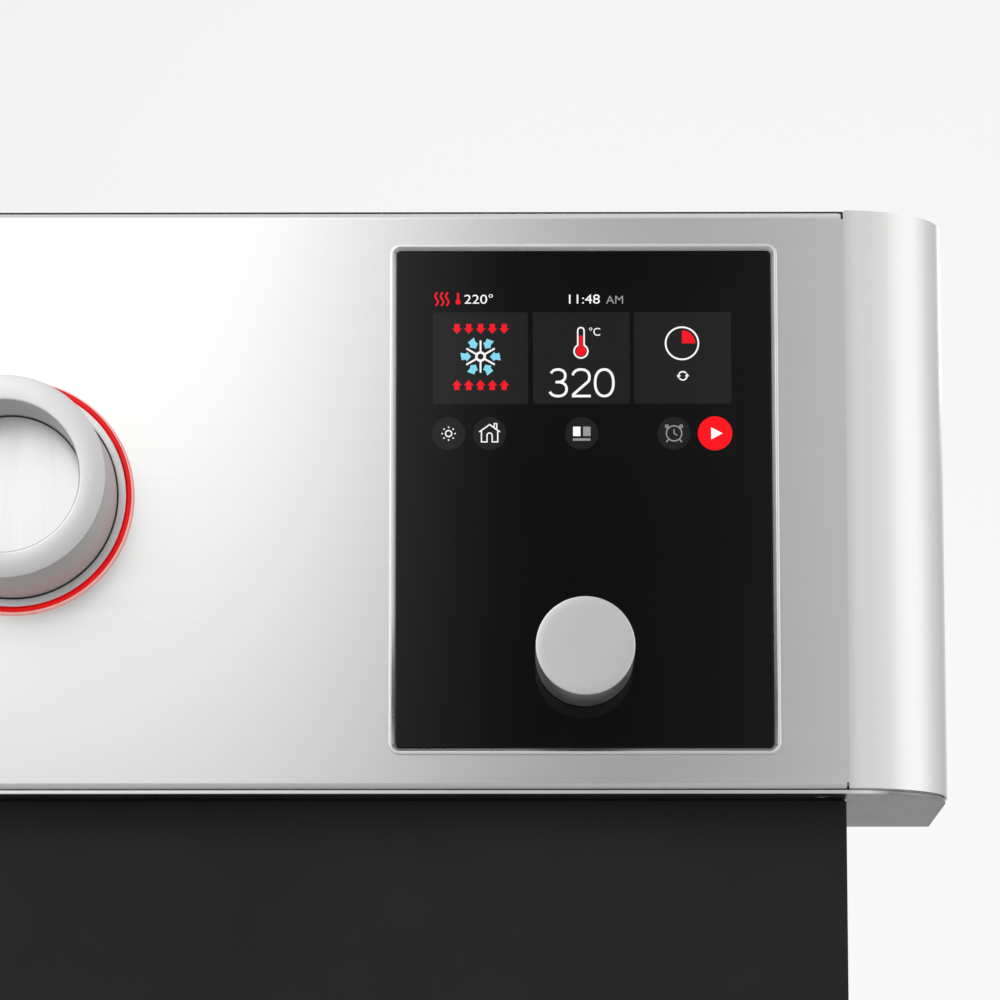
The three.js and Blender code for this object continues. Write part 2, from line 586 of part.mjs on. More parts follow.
function displayModule() {
  const group = new THREE.Group();
  group.position.set(MODULE_X, 0, MIDDLE_Z);
  const clampSolid = clamp();
  group.add(
    mesh("display_rim", displayRim(), "polishedSteel"),
    mesh("front_glass", frontGlass(), "blackGlass"),
    mesh("glass_seal", glassSeal(), "rubber"),
    mesh("touch_sensor", touchSensor(), "screen"),
    mesh("lcd_panel", lcdPanel(), "screen"),
    mesh("backlight_tray", backlightTray(), "zincSteel"),
    mesh("module_carrier", moduleCarrier(), "blackPlastic"),
    mesh("main_board", mainBoard(), "board"),
    mesh("processor_chip", box([-7, 7], [BOARD_BACK + GAP, BOARD_BACK + 1.5], [13, 27]), "chip"),
    mesh("memory_chip", box([14, 23], [BOARD_BACK + GAP, BOARD_BACK + 1.2], [14, 26]), "chip"),
    mesh("buzzer", rodY(6, [BOARD_BACK + GAP, BOARD_BACK + 6.5], [28, -42], 20), "blackPlastic"),
    mesh("supply_socket", socket(SUPPLY), "whitePlastic"),
    mesh("data_socket", socket(BUS), "whitePlastic"),
    mesh("lcd_ribbon", lcdRibbon(), "whitePlastic"),
    mesh("rear_cover", rearCover(), "blackPlastic"),
    mesh("right_clamp", clampSolid, "zincSteel"),
    mesh("left_clamp", mirrorX(clampSolid), "zincSteel"),
  );
  for (const [corner, sx, sz] of CORNERS) {
    const at = [sx * COLUMN_X, sz * COLUMN_Z];
    group.add(mesh(`${corner}_cover_screw`, screw(at, COVER_BACK - 3 + GAP, 11, 2.8, 1.4), "zincSteel"));
  }
  for (const [side, sx] of [["left", -1], ["right", 1]]) {
    const at = [sx * CLAMP_SCREW_X, 0];
    group.add(mesh(`${side}_clamp_screw`, screw(at, COVER_BACK + 1.5 + 2 * GAP, 27, 3, 1.4), "zincSteel"));
  }
  group.add(selector());
  return group;
}

// ---------------------------------------------------------------- selector knob and encoder

function encoderBody() {
  const can = box([-6.5, 6.5], [WEB_BACK + GAP, BOARD_FRONT - GAP], [-6.5, 6.5]);
  const bushing = rodY(3.5, [GLASS_BACK + 0.3, WEB_BACK + 1]);
  return cut(join(can, bushing), rodY(5.7, [9.6, 16.8]), rodY(SHAFT_RADIUS + GAP, [GLASS_BACK, 10]));
}

function encoderNut() {
  const [front, back] = [WEB_FRONT - GAP - 1.8, WEB_FRONT - GAP];
  return cut(rodY(5.8, [front, back], [0, 0], 6), rodY(3.6, [front - 1, back + 1]));
}

function encoderShaft() {
  const rear = 14.6;
  return join(
    flattedRod(SHAFT_RADIUS, [-21.5, -1.3]),
    rodY(SHAFT_RADIUS, [-1.5, 8.6]),
    flattedRod(SHAFT_RADIUS, [8.4, rear]),
  );
}

const SELECTOR_REAR = GLASS_FRONT - SELECTOR_TRAVEL - 0.6;

function selectorKnob() {
  const front = SELECTOR_REAR - SELECTOR_LENGTH;
  const chamfer = 0.4;
  return turned(
    [
      [0, front],
      [SELECTOR_RADIUS - chamfer, front],
      [SELECTOR_RADIUS, front + chamfer],
      [SELECTOR_RADIUS, SELECTOR_REAR],
      [SELECTOR_RADIUS - 1.4, SELECTOR_REAR],
      [SELECTOR_RADIUS - 1.4, front + 1.8],
      [0, front + 1.8],
    ],
    48,
  );
}

function selectorInsert() {
  const [front, rear] = [SELECTOR_REAR - SELECTOR_LENGTH + 1.9, SELECTOR_REAR - 0.6];
  const core = turned([
    [0, front],
    [SELECTOR_RADIUS - 1.6, front],
    [SELECTOR_RADIUS - 1.6, rear],
    [SELECTOR_RADIUS - 3.6, rear],
    [SELECTOR_RADIUS - 3.6, front + 2.4],
    [5.6, front + 2.4],
    [5.6, rear],
    [0, rear],
  ]);
  return cut(core, flattedRod(SHAFT_RADIUS + GAP, [-21.7, rear + 1]));
}

function selector() {
  const group = new THREE.Group();
  group.position.z = SELECTOR_Z;
  const dome = turned([[0, 15.9], [2.4, 16.1], [4, 16.5], [4, 16.75], [0, 16.75]], 20);
  const rotor = cut(rodY(5.4, [9.8, 12.6]), flattedRod(SHAFT_RADIUS + GAP, [9, 13]));
  group.add(
    mesh("encoder_body", encoderBody(), "zincSteel"),
    mesh("encoder_nut", encoderNut(), "zincSteel"),
    mesh("encoder_rotor", rotor, "blackPlastic"),
    mesh("push_switch_dome", dome, "zincSteel"),
    mesh("encoder_shaft", encoderShaft(), "satinAluminium"),
    mesh("selector_knob", selectorKnob(), "satinAluminium"),
    mesh("selector_insert", selectorInsert(), "blackPlastic"),
  );
  return group;
}

// ---------------------------------------------------------------- gas control

const LIGHT_FLANGE = [SHEET + GAP, 3];
const LIGHT_BOARD = [3.1, 4.7];
const CUP_FLOOR = [4.8, 6.3];
const TAP_PLATE = [6.4, 8.4];
const TAP_FRONT = TAP_PLATE[1] + GAP;
const PLATE_SCREW_X = 12.5;

function lightRing() {
  return turned(
    [
      [34.4, -2.6],
      [34.7, -3],
      [LIGHT_RADIUS - 0.4, -3],
      [LIGHT_RADIUS, -2.6],
      [LIGHT_RADIUS, LIGHT_FLANGE[0]],
      [38.4, LIGHT_FLANGE[0]],
      [38.4, LIGHT_FLANGE[1]],
      [34.4, LIGHT_FLANGE[1]],
    ],
    48,
  );
}

// The ring-shaped lamp board, with a tab at its upper right that carries the lamps' socket.
const LIGHT_TAB = { x: 44, z: 25 };

function lightBoard() {
  const [front, back] = LIGHT_BOARD;
  const ring = turned([[34.6, front], [41.5, front], [41.5, back], [34.6, back]], 40);
  const tab = box([LIGHT_TAB.x - 12, LIGHT_TAB.x + 4], LIGHT_BOARD, [LIGHT_TAB.z - 4, LIGHT_TAB.z + 4]);
  return join(ring, cut(tab, rodY(38, [front - 1, back + 1], [0, 0], 40)));
}

function lightSocket() {
  const { x, z } = LIGHT_TAB;
  const [front, back] = [LIGHT_BOARD[1] + GAP, LIGHT_BOARD[1] + 4.5];
  const block = box([x - 1.8, x + 3.2], [front, back], [z - 3.2, z + 3.2]);
  return cut(block, box([x - 0.9, x + 2.3], [front + 1, back + 1], [z - 2.4, z + 2.4]));
}

function burnerCup() {
  return turned(
    [
      [RING_RADIUS + 0.6, -3],
      [RING_RADIUS + 0.8, -3.2],
      [34, -3.2],
      [34.2, -3],
      [34.2, CUP_FLOOR[0]],
      [43, CUP_FLOOR[0]],
      [43, CUP_FLOOR[1]],
      [17, CUP_FLOOR[1]],
      [17, CUP_FLOOR[0]],
      [RING_RADIUS + 0.6, CUP_FLOOR[0]],
    ],
    48,
  );
}

// The knob is a ring with a gently crowned front and a crisp outer edge. A web near its rear carries the
// disc and the hub.
const WEB = { front: -13.4, back: -11.2 };

function ringKnob() {
  const rear = CUP_FLOOR[0] - RING_TRAVEL - 2.3;
  const front = -RING_FRONT;
  const rimOuter = RING_RADIUS - 0.7;
  const hollowFront = front + 6.9;
  const crown = [
    [RING_BORE, front + 0.7],
    [RING_BORE + 0.2, front + 0.2],
    [RING_BORE + 0.7, front],
    [RING_BORE + 3.2, front + 0.1],
    [RING_BORE + 5.6, front + 0.5],
    [rimOuter - 0.2, front + 1.1],
    [rimOuter, front + 1.4],
  ];
  return turned(
    [
      [0, WEB.front],
      [RING_BORE, WEB.front],
      ...crown,
      [RING_RADIUS, rear],
      [RING_RADIUS - 2, rear],
      [rimOuter - 2, hollowFront],
      [RING_BORE + 2, hollowFront],
      [RING_BORE + 2, WEB.back],
      [0, WEB.back],
    ],
    56,
  );
}

function ringKnobDisc() {
  const [front, back, radius] = [WEB.front - 1.6, WEB.front - GAP, 22.6];
  return turned([[0, front], [radius - 0.2, front], [radius, front + 0.2], [radius, back], [0, back]], 48);
}

function ringKnobHub() {
  const hub = rodY(8.5, [WEB.back + GAP, 1]);
  return cut(hub, flattedRod(STEM_RADIUS + GAP, [WEB.back - 1, 2]));
}

function tapStem() {
  return join(
    flattedRod(STEM_RADIUS, [WEB.back + 3 * GAP, 4]),
    rodY(STEM_RADIUS, [3.8, 9.1]),
    rodY(7.2, [8.9, 10.9]),
    flattedRod(STEM_RADIUS, [10.7, 30.5]),
  );
}

class SpringPath extends THREE.Curve {
  constructor(radius, [start, end], turns) {
    super();
    Object.assign(this, { radius, start, end, turns });
  }

  getPoint(t, target = new THREE.Vector3()) {
    const angle = 2 * Math.PI * this.turns * t;
    const y = this.start + (this.end - this.start) * t;
    return target.set(this.radius * Math.cos(angle), y, this.radius * Math.sin(angle));
  }
}

// A round wire along a path.
function wire(path, radius, steps, sides = 8) {
  const section = new THREE.Shape().absarc(0, 0, radius, 0, 2 * Math.PI);
  const settings = { steps, extrudePath: path, bevelEnabled: false, curveSegments: sides };
  return toSolid(new THREE.ExtrudeGeometry(section, settings));
}

const PLUG = [24.2, 42.8];

function tapPlug() {
  const cone = turned([[0, PLUG[0]], [7.5, PLUG[0]], [7, PLUG[1]], [0, PLUG[1]]], 24);
  return cut(cone, flattedRod(STEM_RADIUS + GAP, [PLUG[0] - 1, 35]));
}

const INLET_FACE = -30;

function tapBody() {
  const body = join(
    rodY(11.5, [TAP_FRONT, 46], [0, 0], 28),
    alongY(roundedRect(36, 16, 4), [TAP_FRONT, 14.5], 4),
    box([-9, 9], [20, 38], [INLET_FACE, 0]),
    box([-17, 17], [20, 38], [INLET_FACE, INLET_FACE + 5]),
    rodZ(6, [0, 24], [0, OUTLET_Y], 20),
  );
  return cut(
    body,
    rodY(CHAMBER_RADIUS, [TAP_FRONT - 1, 43]),
    rodZ(1.9, [0, 25], [0, OUTLET_Y], 12),
    rodZ(1.9, [INLET_FACE - 1, 0], [0, INLET_Y], 12),
    rodZ(6.6, [INLET_FACE - 1, INLET_FACE + 1.2], [0, INLET_Y], 20),
    ...[-13, 13].map((x) => rodZ(2.2, [INLET_FACE - 1, INLET_FACE + 6], [x, INLET_Y], 12)),
    ...[-PLATE_SCREW_X, PLATE_SCREW_X].map((x) => rodY(2.1, [TAP_FRONT - 1, 15], [x, 0], 12)),
  );
}

function tapPlate() {
  const holes = [
    { at: [0, 0], radius: STEM_RADIUS + 0.4 },
    ...[-STUD_X, STUD_X, -PLATE_SCREW_X, PLATE_SCREW_X].map((x) => ({ at: [x, 0], radius: 2.2 })),
  ];
  return alongY(withHoles(roundedRect(2 * STUD_X + 12, 30, 6), holes), TAP_PLATE, 6);
}

function studNut(x) {
  const span = [TAP_FRONT, TAP_FRONT + 3.2];
  return cut(rodY(4.2, span, [x, 0], 6), rodY(2.15, [span[0] - 1, span[1] + 1], [x, 0], 12));
}

function inletSeal() {
  const [low, high] = [INLET_FACE - 0.5, INLET_FACE + 1.1];
  return cut(rodZ(6.4, [low, high], [0, INLET_Y], 20), rodZ(3.4, [low - 1, high + 1], [0, INLET_Y], 16));
}

function outletNut() {
  const [low, high] = [16, 27];
  return cut(rodZ(8.4, [low, high], [0, OUTLET_Y], 6), rodZ(6.2, [low - 1, high + 1], [0, OUTLET_Y], 20));
}

function gasControl() {
  const group = new THREE.Group();
  group.position.set(BURNER_X, 0, MIDDLE_Z);
  const spring = wire(new SpringPath(5.7, [11.9, 23.3], 4.5), 0.65, 50, 3);
  group.add(
    mesh("light_ring", lightRing(), "redLight"),
    mesh("light_board", lightBoard(), "board"),
    mesh("light_socket", lightSocket(), "whitePlastic"),
    mesh("burner_cup", burnerCup(), "satinAluminium"),
    mesh("burner_knob", ringKnob(), "satinAluminium"),
    mesh("burner_knob_disc", ringKnobDisc(), "brushedSteel"),
    mesh("burner_knob_hub", ringKnobHub(), "blackPlastic"),
    mesh("tap_stem", tapStem(), "zincSteel"),
    mesh("tap_spring", spring, "zincSteel"),
    mesh("tap_plug", tapPlug(), "brass"),
    mesh("tap_body", tapBody(), "castAluminium"),
    mesh("tap_plate", tapPlate(), "zincSteel"),
    mesh("ignition_switch", box([11.8, 19], [14.7, 28], [-8, 8]), "blackPlastic"),
    mesh("outlet_nut", outletNut(), "brass"),
    mesh("inlet_seal", inletSeal(), "rubber"),
  );
  for (const [side, sx] of [["left", -1], ["right", 1]]) {
    const seat = TAP_PLATE[0] - GAP;
    group.add(
      mesh(`${side}_tap_screw`, screw([sx * PLATE_SCREW_X, 0], seat, 14, 3.2, 1.9), "zincSteel"),
      mesh(`${side}_stud_nut`, studNut(sx * STUD_X), "zincSteel"),
    );
  }
  return group;
}

// ---------------------------------------------------------------- assembly

const panel = new THREE.Group();
panel.name = "control_panel";
panel.position.y = -FLANGE_DEPTH / 2;
const front = new THREE.Group();
front.position.z = BASE_PLATE + GAP;
front.add(fascia(), displayModule(), gasControl());
panel.add(mesh("base_plate", basePlate(), "brushedSteel"), front);

export default panel;
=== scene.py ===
# Looks of a range cooker's control panel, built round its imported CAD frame: a folded stainless fascia with a
# black glass touch display, a push-and-turn selector, and a lit gas control with a ring-shaped knob.
# Metres, in the row frame: +X is the user's right, +Y runs into the cooker, +Z is up. Lengths that a
# function takes in millimetres are named so in its text.
import json
import math

import bmesh
import bpy
from mathutils import Matrix, Vector
from mathutils.geometry import delaunay_2d_cdt


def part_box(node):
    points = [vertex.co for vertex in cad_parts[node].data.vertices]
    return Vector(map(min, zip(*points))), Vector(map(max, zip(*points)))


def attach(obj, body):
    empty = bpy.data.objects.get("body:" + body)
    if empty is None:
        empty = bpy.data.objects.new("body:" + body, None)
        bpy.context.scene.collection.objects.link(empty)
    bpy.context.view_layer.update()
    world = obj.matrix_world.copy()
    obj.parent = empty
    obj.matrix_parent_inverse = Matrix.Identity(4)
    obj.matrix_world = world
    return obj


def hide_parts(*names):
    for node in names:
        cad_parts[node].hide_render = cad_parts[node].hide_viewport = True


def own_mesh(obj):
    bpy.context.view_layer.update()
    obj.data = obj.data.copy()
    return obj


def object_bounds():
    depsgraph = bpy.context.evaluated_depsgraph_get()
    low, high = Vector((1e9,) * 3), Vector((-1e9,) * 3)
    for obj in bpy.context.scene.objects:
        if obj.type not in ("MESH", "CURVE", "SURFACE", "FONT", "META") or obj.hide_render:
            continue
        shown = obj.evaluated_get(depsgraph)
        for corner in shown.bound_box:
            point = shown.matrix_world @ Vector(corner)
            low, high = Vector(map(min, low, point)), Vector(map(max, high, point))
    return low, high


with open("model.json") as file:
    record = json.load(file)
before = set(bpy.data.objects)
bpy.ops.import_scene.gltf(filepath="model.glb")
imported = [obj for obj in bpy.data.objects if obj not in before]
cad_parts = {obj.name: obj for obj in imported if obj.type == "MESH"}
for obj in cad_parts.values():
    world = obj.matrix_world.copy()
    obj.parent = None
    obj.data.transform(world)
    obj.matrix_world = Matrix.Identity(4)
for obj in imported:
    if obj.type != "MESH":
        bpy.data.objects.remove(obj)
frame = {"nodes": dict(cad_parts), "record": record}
cad_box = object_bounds()

MM = 0.001
TAU = 2 * math.pi
SLOTS = {part["node"]: part["material_slot"] for part in frame["record"]["subparts"]}
BODY_OF = {
    node: body for body, nodes in frame["record"]["behaviour"]["bodies"].items() for node in nodes
}

GLASS_LOW, GLASS_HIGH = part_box("front_glass")
GLASS_CENTRE = (GLASS_LOW + GLASS_HIGH) / 2
PANEL_LOW, PANEL_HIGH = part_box("fascia_panel")


# ---------------------------------------------------------------- camera, stage and light

CAMERA_DISTANCE = 1.591
CAMERA_PITCH = 9.43  # degrees that it looks up
CAMERA_YAW = 0.35
LENS = 186.7
AIM = Vector((GLASS_CENTRE.x - 0.0258, GLASS_LOW.y, GLASS_CENTRE.z - 0.0007))

PLINTH_HEIGHT = 0.34
PLINTH_MARGIN = 32  # from each end of the panel, in millimetres, as the next two are
PLINTH_DEPTH = 60
PLINTH_Y = 36  # its middle
FLOOR_Z = cad_box[0].z - PLINTH_HEIGHT


def add_object(name, data):
    made = bpy.data.objects.new(name, data)
    bpy.context.scene.collection.objects.link(made)
    return made


def add_camera():
    data = bpy.data.cameras.new("camera")
    data.lens = LENS
    data.clip_end = 50
    camera = add_object("camera", data)
    pitch, yaw = math.radians(CAMERA_PITCH), math.radians(CAMERA_YAW)
    ahead = Vector((-math.sin(yaw) * math.cos(pitch), math.cos(yaw) * math.cos(pitch), math.sin(pitch)))
    camera.location = AIM - ahead * CAMERA_DISTANCE
    camera.rotation_euler = (math.pi / 2 + pitch, 0, yaw)
    bpy.context.scene.camera = camera


def add_softbox(name, centre, target, size, power):
    data = bpy.data.lights.new(name, "AREA")
    data.shape = "RECTANGLE"
    data.size, data.size_y = size
    data.energy = power
    light = add_object(name, data)
    light.location = centre
    light.rotation_euler = (Vector(target) - Vector(centre)).to_track_quat("-Z", "Y").to_euler()
    light.visible_camera = False


def add_glow_card(name, span_x, span_z, y, fade, radiance):
    """A lit card that faces the panel and fades out towards the spans' ends, by (left, right, low, high)."""
    (left, right), (bottom, top) = span_x, span_z
    corners = [(left, y, bottom), (left, y, top), (right, y, top), (right, y, bottom)]
    mesh = bpy.data.meshes.new(name)
    mesh.from_pydata(corners, [], [(0, 1, 2, 3)])
    card = add_object(name, mesh)
    material = bpy.data.materials.new(name)
    material.use_nodes = True
    nodes, links = material.node_tree.nodes, material.node_tree.links
    nodes.remove(nodes["Principled BSDF"])
    place = nodes.new("ShaderNodeTexCoord")
    parts = nodes.new("ShaderNodeSeparateXYZ")
    links.new(place.outputs["Object"], parts.inputs[0])
    level = None
    ends = ((left, fade[0], "X"), (right, -fade[1], "X"), (bottom, fade[2], "Z"), (top, -fade[3], "Z"))
    for end, width, axis in ends:
        ease = nodes.new("ShaderNodeMapRange")
        ease.interpolation_type = "SMOOTHSTEP"
        ease.inputs["From Min"].default_value = end
        ease.inputs["From Max"].default_value = end + width
        links.new(parts.outputs[axis], ease.inputs["Value"])
        if level is None:
            level = ease.outputs[0]
            continue
        product = nodes.new("ShaderNodeMath")
        product.operation = "MULTIPLY"
        links.new(level, product.inputs[0])
        links.new(ease.outputs[0], product.inputs[1])
        level = product.outputs[0]
    glow = nodes.new("ShaderNodeEmission")
    glow.inputs["Strength"].default_value = radiance
    dark = nodes.new("ShaderNodeBsdfTransparent")
    mix = nodes.new("ShaderNodeMixShader")
    links.new(level, mix.inputs[0])
    links.new(dark.outputs[0], mix.inputs[1])
    links.new(glow.outputs[0], mix.inputs[2])
    links.new(mix.outputs[0], nodes["Material Output"].inputs["Surface"])
    mesh.materials.append(material)
    card.visible_camera = False
    card.visible_shadow = False


def add_lights():
    middle = (0, 0, 0.09)
    add_glow_card("card_left", (-1.3, 0.075), (-0.28, 1.0), -0.8, (0.3, 0.11, 0.7, 0.3), 1.72)
    add_glow_card("card_right", (0.10, 0.9), (-0.28, 1.0), -0.8, (0.22, 0.2, 0.1, 0.3), 0.9)
    add_softbox("softbox_left", (-0.9, -1.4, 1.1), middle, (0.7, 0.7), 6)
    add_softbox("softbox_top", (-0.2, -0.3, 1.5), middle, (2.6, 2.2), 8)
    add_softbox("softbox_back", (0.3, 1.6, 1.0), middle, (1.6, 1.2), 10)


# Brightness of the room by compass angle in degrees: 0 is in front of the panel and 90 to its right.
ROOM = (
    (-180, 0.95),
    (-150, 0.70),
    (-90, 0.85),
    (-40, 0.90),
    (-15, 0.30),
    (0, 0.18),
    (10, 0.20),
    (24, 0.45),
    (38, 1.05),
    (49, 0.98),
    (60, 1.25),
    (74, 1.40),
    (90, 1.40),
    (104, 1.15),
    (118, 0.85),
    (150, 0.60),
    (166, 0.95),
    (180, 0.95),
)
ROOM_PEAK = 1.5
ZENITH = 0.40


def add_world():
    """A pale room whose walls are brighter and darker by direction, as studio cards make them."""
    world = bpy.data.worlds.new("studio")
    bpy.context.scene.world = world
    world.use_nodes = True
    nodes, links = world.node_tree.nodes, world.node_tree.links

    def maths(operation, first, second):
        node = nodes.new("ShaderNodeMath")
        node.operation = operation
        for socket, value in zip(node.inputs, (first, second)):
            if isinstance(value, (int, float)):
                socket.default_value = value
            else:
                links.new(value, socket)
        return node.outputs[0]

    direction = nodes.new("ShaderNodeTexCoord")
    parts = nodes.new("ShaderNodeSeparateXYZ")
    links.new(direction.outputs["Generated"], parts.inputs[0])
    to_front = maths("MULTIPLY", parts.outputs["Y"], -1)
    angle = maths("ARCTAN2", parts.outputs["X"], to_front)
    ramp = nodes.new("ShaderNodeValToRGB")
    ramp.color_ramp.interpolation = "EASE"
    links.new(maths("ADD", maths("DIVIDE", angle, TAU), 0.5), ramp.inputs[0])
    stops = ramp.color_ramp.elements
    while len(stops) > 1:
        stops.remove(stops[-1])
    for i, (degrees, value) in enumerate(ROOM):
        place = (degrees + 180) / 360
        stop = stops[0] if i == 0 else stops.new(place)
        stop.position = place
        stop.color = (*[value / ROOM_PEAK] * 3, 1)
    blend = nodes.new("ShaderNodeMix")
    blend.data_type = "RGBA"
    blend.inputs[7].default_value = (*[ZENITH / ROOM_PEAK] * 3, 1)
    links.new(maths("MULTIPLY", parts.outputs["Z"], parts.outputs["Z"]), blend.inputs[0])
    links.new(ramp.outputs[0], blend.inputs[6])
    links.new(blend.outputs[2], nodes["Background"].inputs["Color"])
    nodes["Background"].inputs["Strength"].default_value = ROOM_PEAK


# ---------------------------------------------------------------- materials


class Surface:
    """One material under construction: a Principled shader and short calls for the nodes that feed it."""

    def __init__(self, name, colour, roughness, metallic=0.0, **inputs):
        self.material = bpy.data.materials.new(name)
        self.material.use_nodes = True
        self.nodes = self.material.node_tree.nodes
        self.links = self.material.node_tree.links
        self.shader = self.nodes["Principled BSDF"]
        self.colour = (*colour, 1)
        self.shader.inputs["Base Color"].default_value = self.colour
        self.shader.inputs["Roughness"].default_value = roughness
        self.shader.inputs["Metallic"].default_value = metallic
        for key, value in inputs.items():
            self.shader.inputs[key.replace("_", " ")].default_value = value
        self.place = self.nodes.new("ShaderNodeTexCoord").outputs["Object"]

    def add(self, kind, source=None, **settings):
        node = self.nodes.new(kind)
        for key, value in settings.items():
            setattr(node, key, value)
        if source is not None:
            self.links.new(source, node.inputs[0])
        return node

    def noise(self, scale, stretch=(1, 1, 1), detail=3.0, source=None):
        """Noise with `scale` features per metre, times the stretch along each axis."""
        mapping = self.add("ShaderNodeMapping", source or self.place)
        mapping.inputs["Scale"].default_value = stretch
        node = self.add("ShaderNodeTexNoise", mapping.outputs[0])
        node.inputs["Scale"].default_value = scale
        node.inputs["Detail"].default_value = detail
        return node.outputs["Fac"]

    def spread(self, source, low, high, start=0.3, end=0.7):
        node = self.add("ShaderNodeMapRange", source)
        for key, value in (("From Min", start), ("From Max", end), ("To Min", low), ("To Max", high)):
            node.inputs[key].default_value = value
        return node.outputs[0]

    def vary_roughness(self, source, low, high):
        self.links.new(self.spread(source, low, high), self.shader.inputs["Roughness"])

    def tint(self, source, colour, most=1.0, start=0.3, end=0.7):
        """Mixes another colour in where the source is high."""
        mix = self.add("ShaderNodeMix", data_type="RGBA")
        current = self.shader.inputs["Base Color"]
        if current.is_linked:
            self.links.new(current.links[0].from_socket, mix.inputs[6])
        else:
            mix.inputs[6].default_value = self.colour
        mix.inputs[7].default_value = (*colour, 1)
        self.links.new(self.spread(source, 0, most, start, end), mix.inputs[0])
        self.links.new(mix.outputs[2], current)

    def emboss(self, source, depth, strength=1.0):
        """Bump from a source between 0 and 1 that stands for `depth` metres."""
        bump = self.add("ShaderNodeBump")
        bump.inputs["Distance"].default_value = depth
        bump.inputs["Strength"].default_value = strength
        normal = self.shader.inputs["Normal"]
        if normal.is_linked:
            self.links.new(normal.links[0].from_socket, bump.inputs["Normal"])
        self.links.new(source, bump.inputs["Height"])
        self.links.new(bump.outputs[0], normal)

    def around_axis(self, centre):
        """Coordinates (distance from a Y axis through centre, depth along it), for turned work."""
        shift = self.add("ShaderNodeMapping", self.place)
        shift.inputs["Location"].default_value = (-centre.x, 0, -centre.z)
        parts = self.add("ShaderNodeSeparateXYZ", shift.outputs[0])
        flat = self.add("ShaderNodeCombineXYZ", parts.outputs["X"])
        self.links.new(parts.outputs["Z"], flat.inputs["Y"])
        radius = self.add("ShaderNodeVectorMath", flat.outputs[0], operation="LENGTH")
        turned = self.add("ShaderNodeCombineXYZ", radius.outputs["Value"])
        self.links.new(parts.outputs["Y"], turned.inputs["Y"])
        return turned.outputs[0]


STEEL_TONE = 0.72


def brushed_steel():
    """Stainless sheet brushed level, along the face and round the ends, with a faint cloudiness."""
    tone = STEEL_TONE
    made = Surface("brushed_steel", (tone, tone, tone * 0.995), 0.3, 1.0)
    lines = made.noise(1, (14, 14, 7000), 3)
    made.vary_roughness(made.noise(1, (10, 10, 3000), 3), 0.24, 0.27)
    made.tint(made.noise(14, detail=4), (tone * 0.985, tone * 0.985, tone * 0.975))
    made.tint(lines, (tone * 1.02, tone * 1.02, tone * 1.015), 0.5)
    made.emboss(lines, 0.00000009)
    return made.material


def polished_steel():
    made = Surface("polished_steel", (0.82, 0.82, 0.82), 0.3, 1.0)
    made.vary_roughness(made.noise(90, detail=3), 0.27, 0.31)
    made.tint(made.noise(60, detail=3), (0.79, 0.79, 0.785))
    return made.material


def turned_metal(name, node, colour, rough, groove=0.0000006):
    """Satin metal with the fine rings that a lathe leaves round the node's own axis."""
    low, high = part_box(node)
    made = Surface(name, colour, sum(rough) / 2, 1.0)
    rings = made.noise(1, (3200, 3200, 1), 3, made.around_axis((low + high) / 2))
    blast = made.noise(2600, detail=2)
    made.vary_roughness(made.noise(90, detail=4), *rough)
    made.tint(rings, tuple(c * 0.97 for c in colour))
    made.emboss(rings, groove)
    made.emboss(blast, groove)
    return made.material


def base_steel_painted_shade():
    """Stainless sheet, bright along its front edge, with painted shade darkening the rest behind it."""
    made = Surface("base_steel_painted_shade", (0.72, 0.72, 0.715), 0.3, 1.0)
    depth = made.add("ShaderNodeSeparateXYZ", made.place).outputs["Y"]
    made.vary_roughness(made.noise(40, detail=3), 0.28, 0.32)
    front = PANEL_LOW.y + SHEET * MM
    # painted shade: 2 mm behind the front edge the colour drops to dark grey, standing in for the shade under
    # the panel
    made.tint(depth, (0.24, 0.24, 0.235), 1.0, front, front + 0.002)
    return made.material


def ring_edge():
    """Pale translucent plastic that carries some of the lamp's light."""
    glow = {"Emission_Color": (1, 0.45, 0.42, 1), "Emission_Strength": 0.3}
    made = Surface("ring_edge", (0.80, 0.50, 0.48), 0.4, **glow)
    made.tint(made.noise(60, detail=3), (0.76, 0.45, 0.43))
    made.vary_roughness(made.noise(400, detail=3), 0.35, 0.5)
    return made.material


def zinc_steel():
    """Zinc plate: a bluish grey with patches of yellow passivation and dull crystals."""
    made = Surface("zinc_steel", (0.58, 0.60, 0.62), 0.42, 1.0)
    crystals = made.add("ShaderNodeTexVoronoi", made.place)
    crystals.inputs["Scale"].default_value = 420
    made.tint(made.noise(35, detail=4), (0.60, 0.57, 0.50), 0.6)
    made.tint(crystals.outputs["Color"], (0.50, 0.52, 0.55), 0.5)
    made.vary_roughness(made.noise(260, detail=4), 0.32, 0.55)
    made.emboss(made.noise(1400, detail=3), 0.000006)
    return made.material


def cast_aluminium():
    made = Surface("cast_aluminium", (0.50, 0.50, 0.49), 0.6, 1.0)
    made.tint(made.noise(300, detail=5), (0.38, 0.38, 0.375))
    made.vary_roughness(made.noise(700, detail=4), 0.5, 0.78)
    made.emboss(made.noise(900, detail=5), 0.00006, 0.8)
    return made.material


def brass():
    made = Surface("brass", (0.62, 0.43, 0.15), 0.3, 1.0)
    made.tint(made.noise(120, detail=5), (0.47, 0.32, 0.12), 0.7)
    made.vary_roughness(made.noise(800, detail=3), 0.24, 0.42)
    made.emboss(made.noise(1, (700, 2600, 700), 2), 0.000003)
    return made.material


def moulded(name, colour, rough, grain=0.00001, paler=1.25, metallic=0.0):
    """A moulded or blasted surface with a fine grain and slight shine where it has been handled."""
    made = Surface(name, colour, sum(rough) / 2, metallic)
    made.tint(made.noise(45, detail=4), tuple(min(c * paler, 1) for c in colour), 0.8)
    made.vary_roughness(made.noise(120, detail=4), *rough)
    made.emboss(made.noise(3000, detail=2), grain)
    return made.material


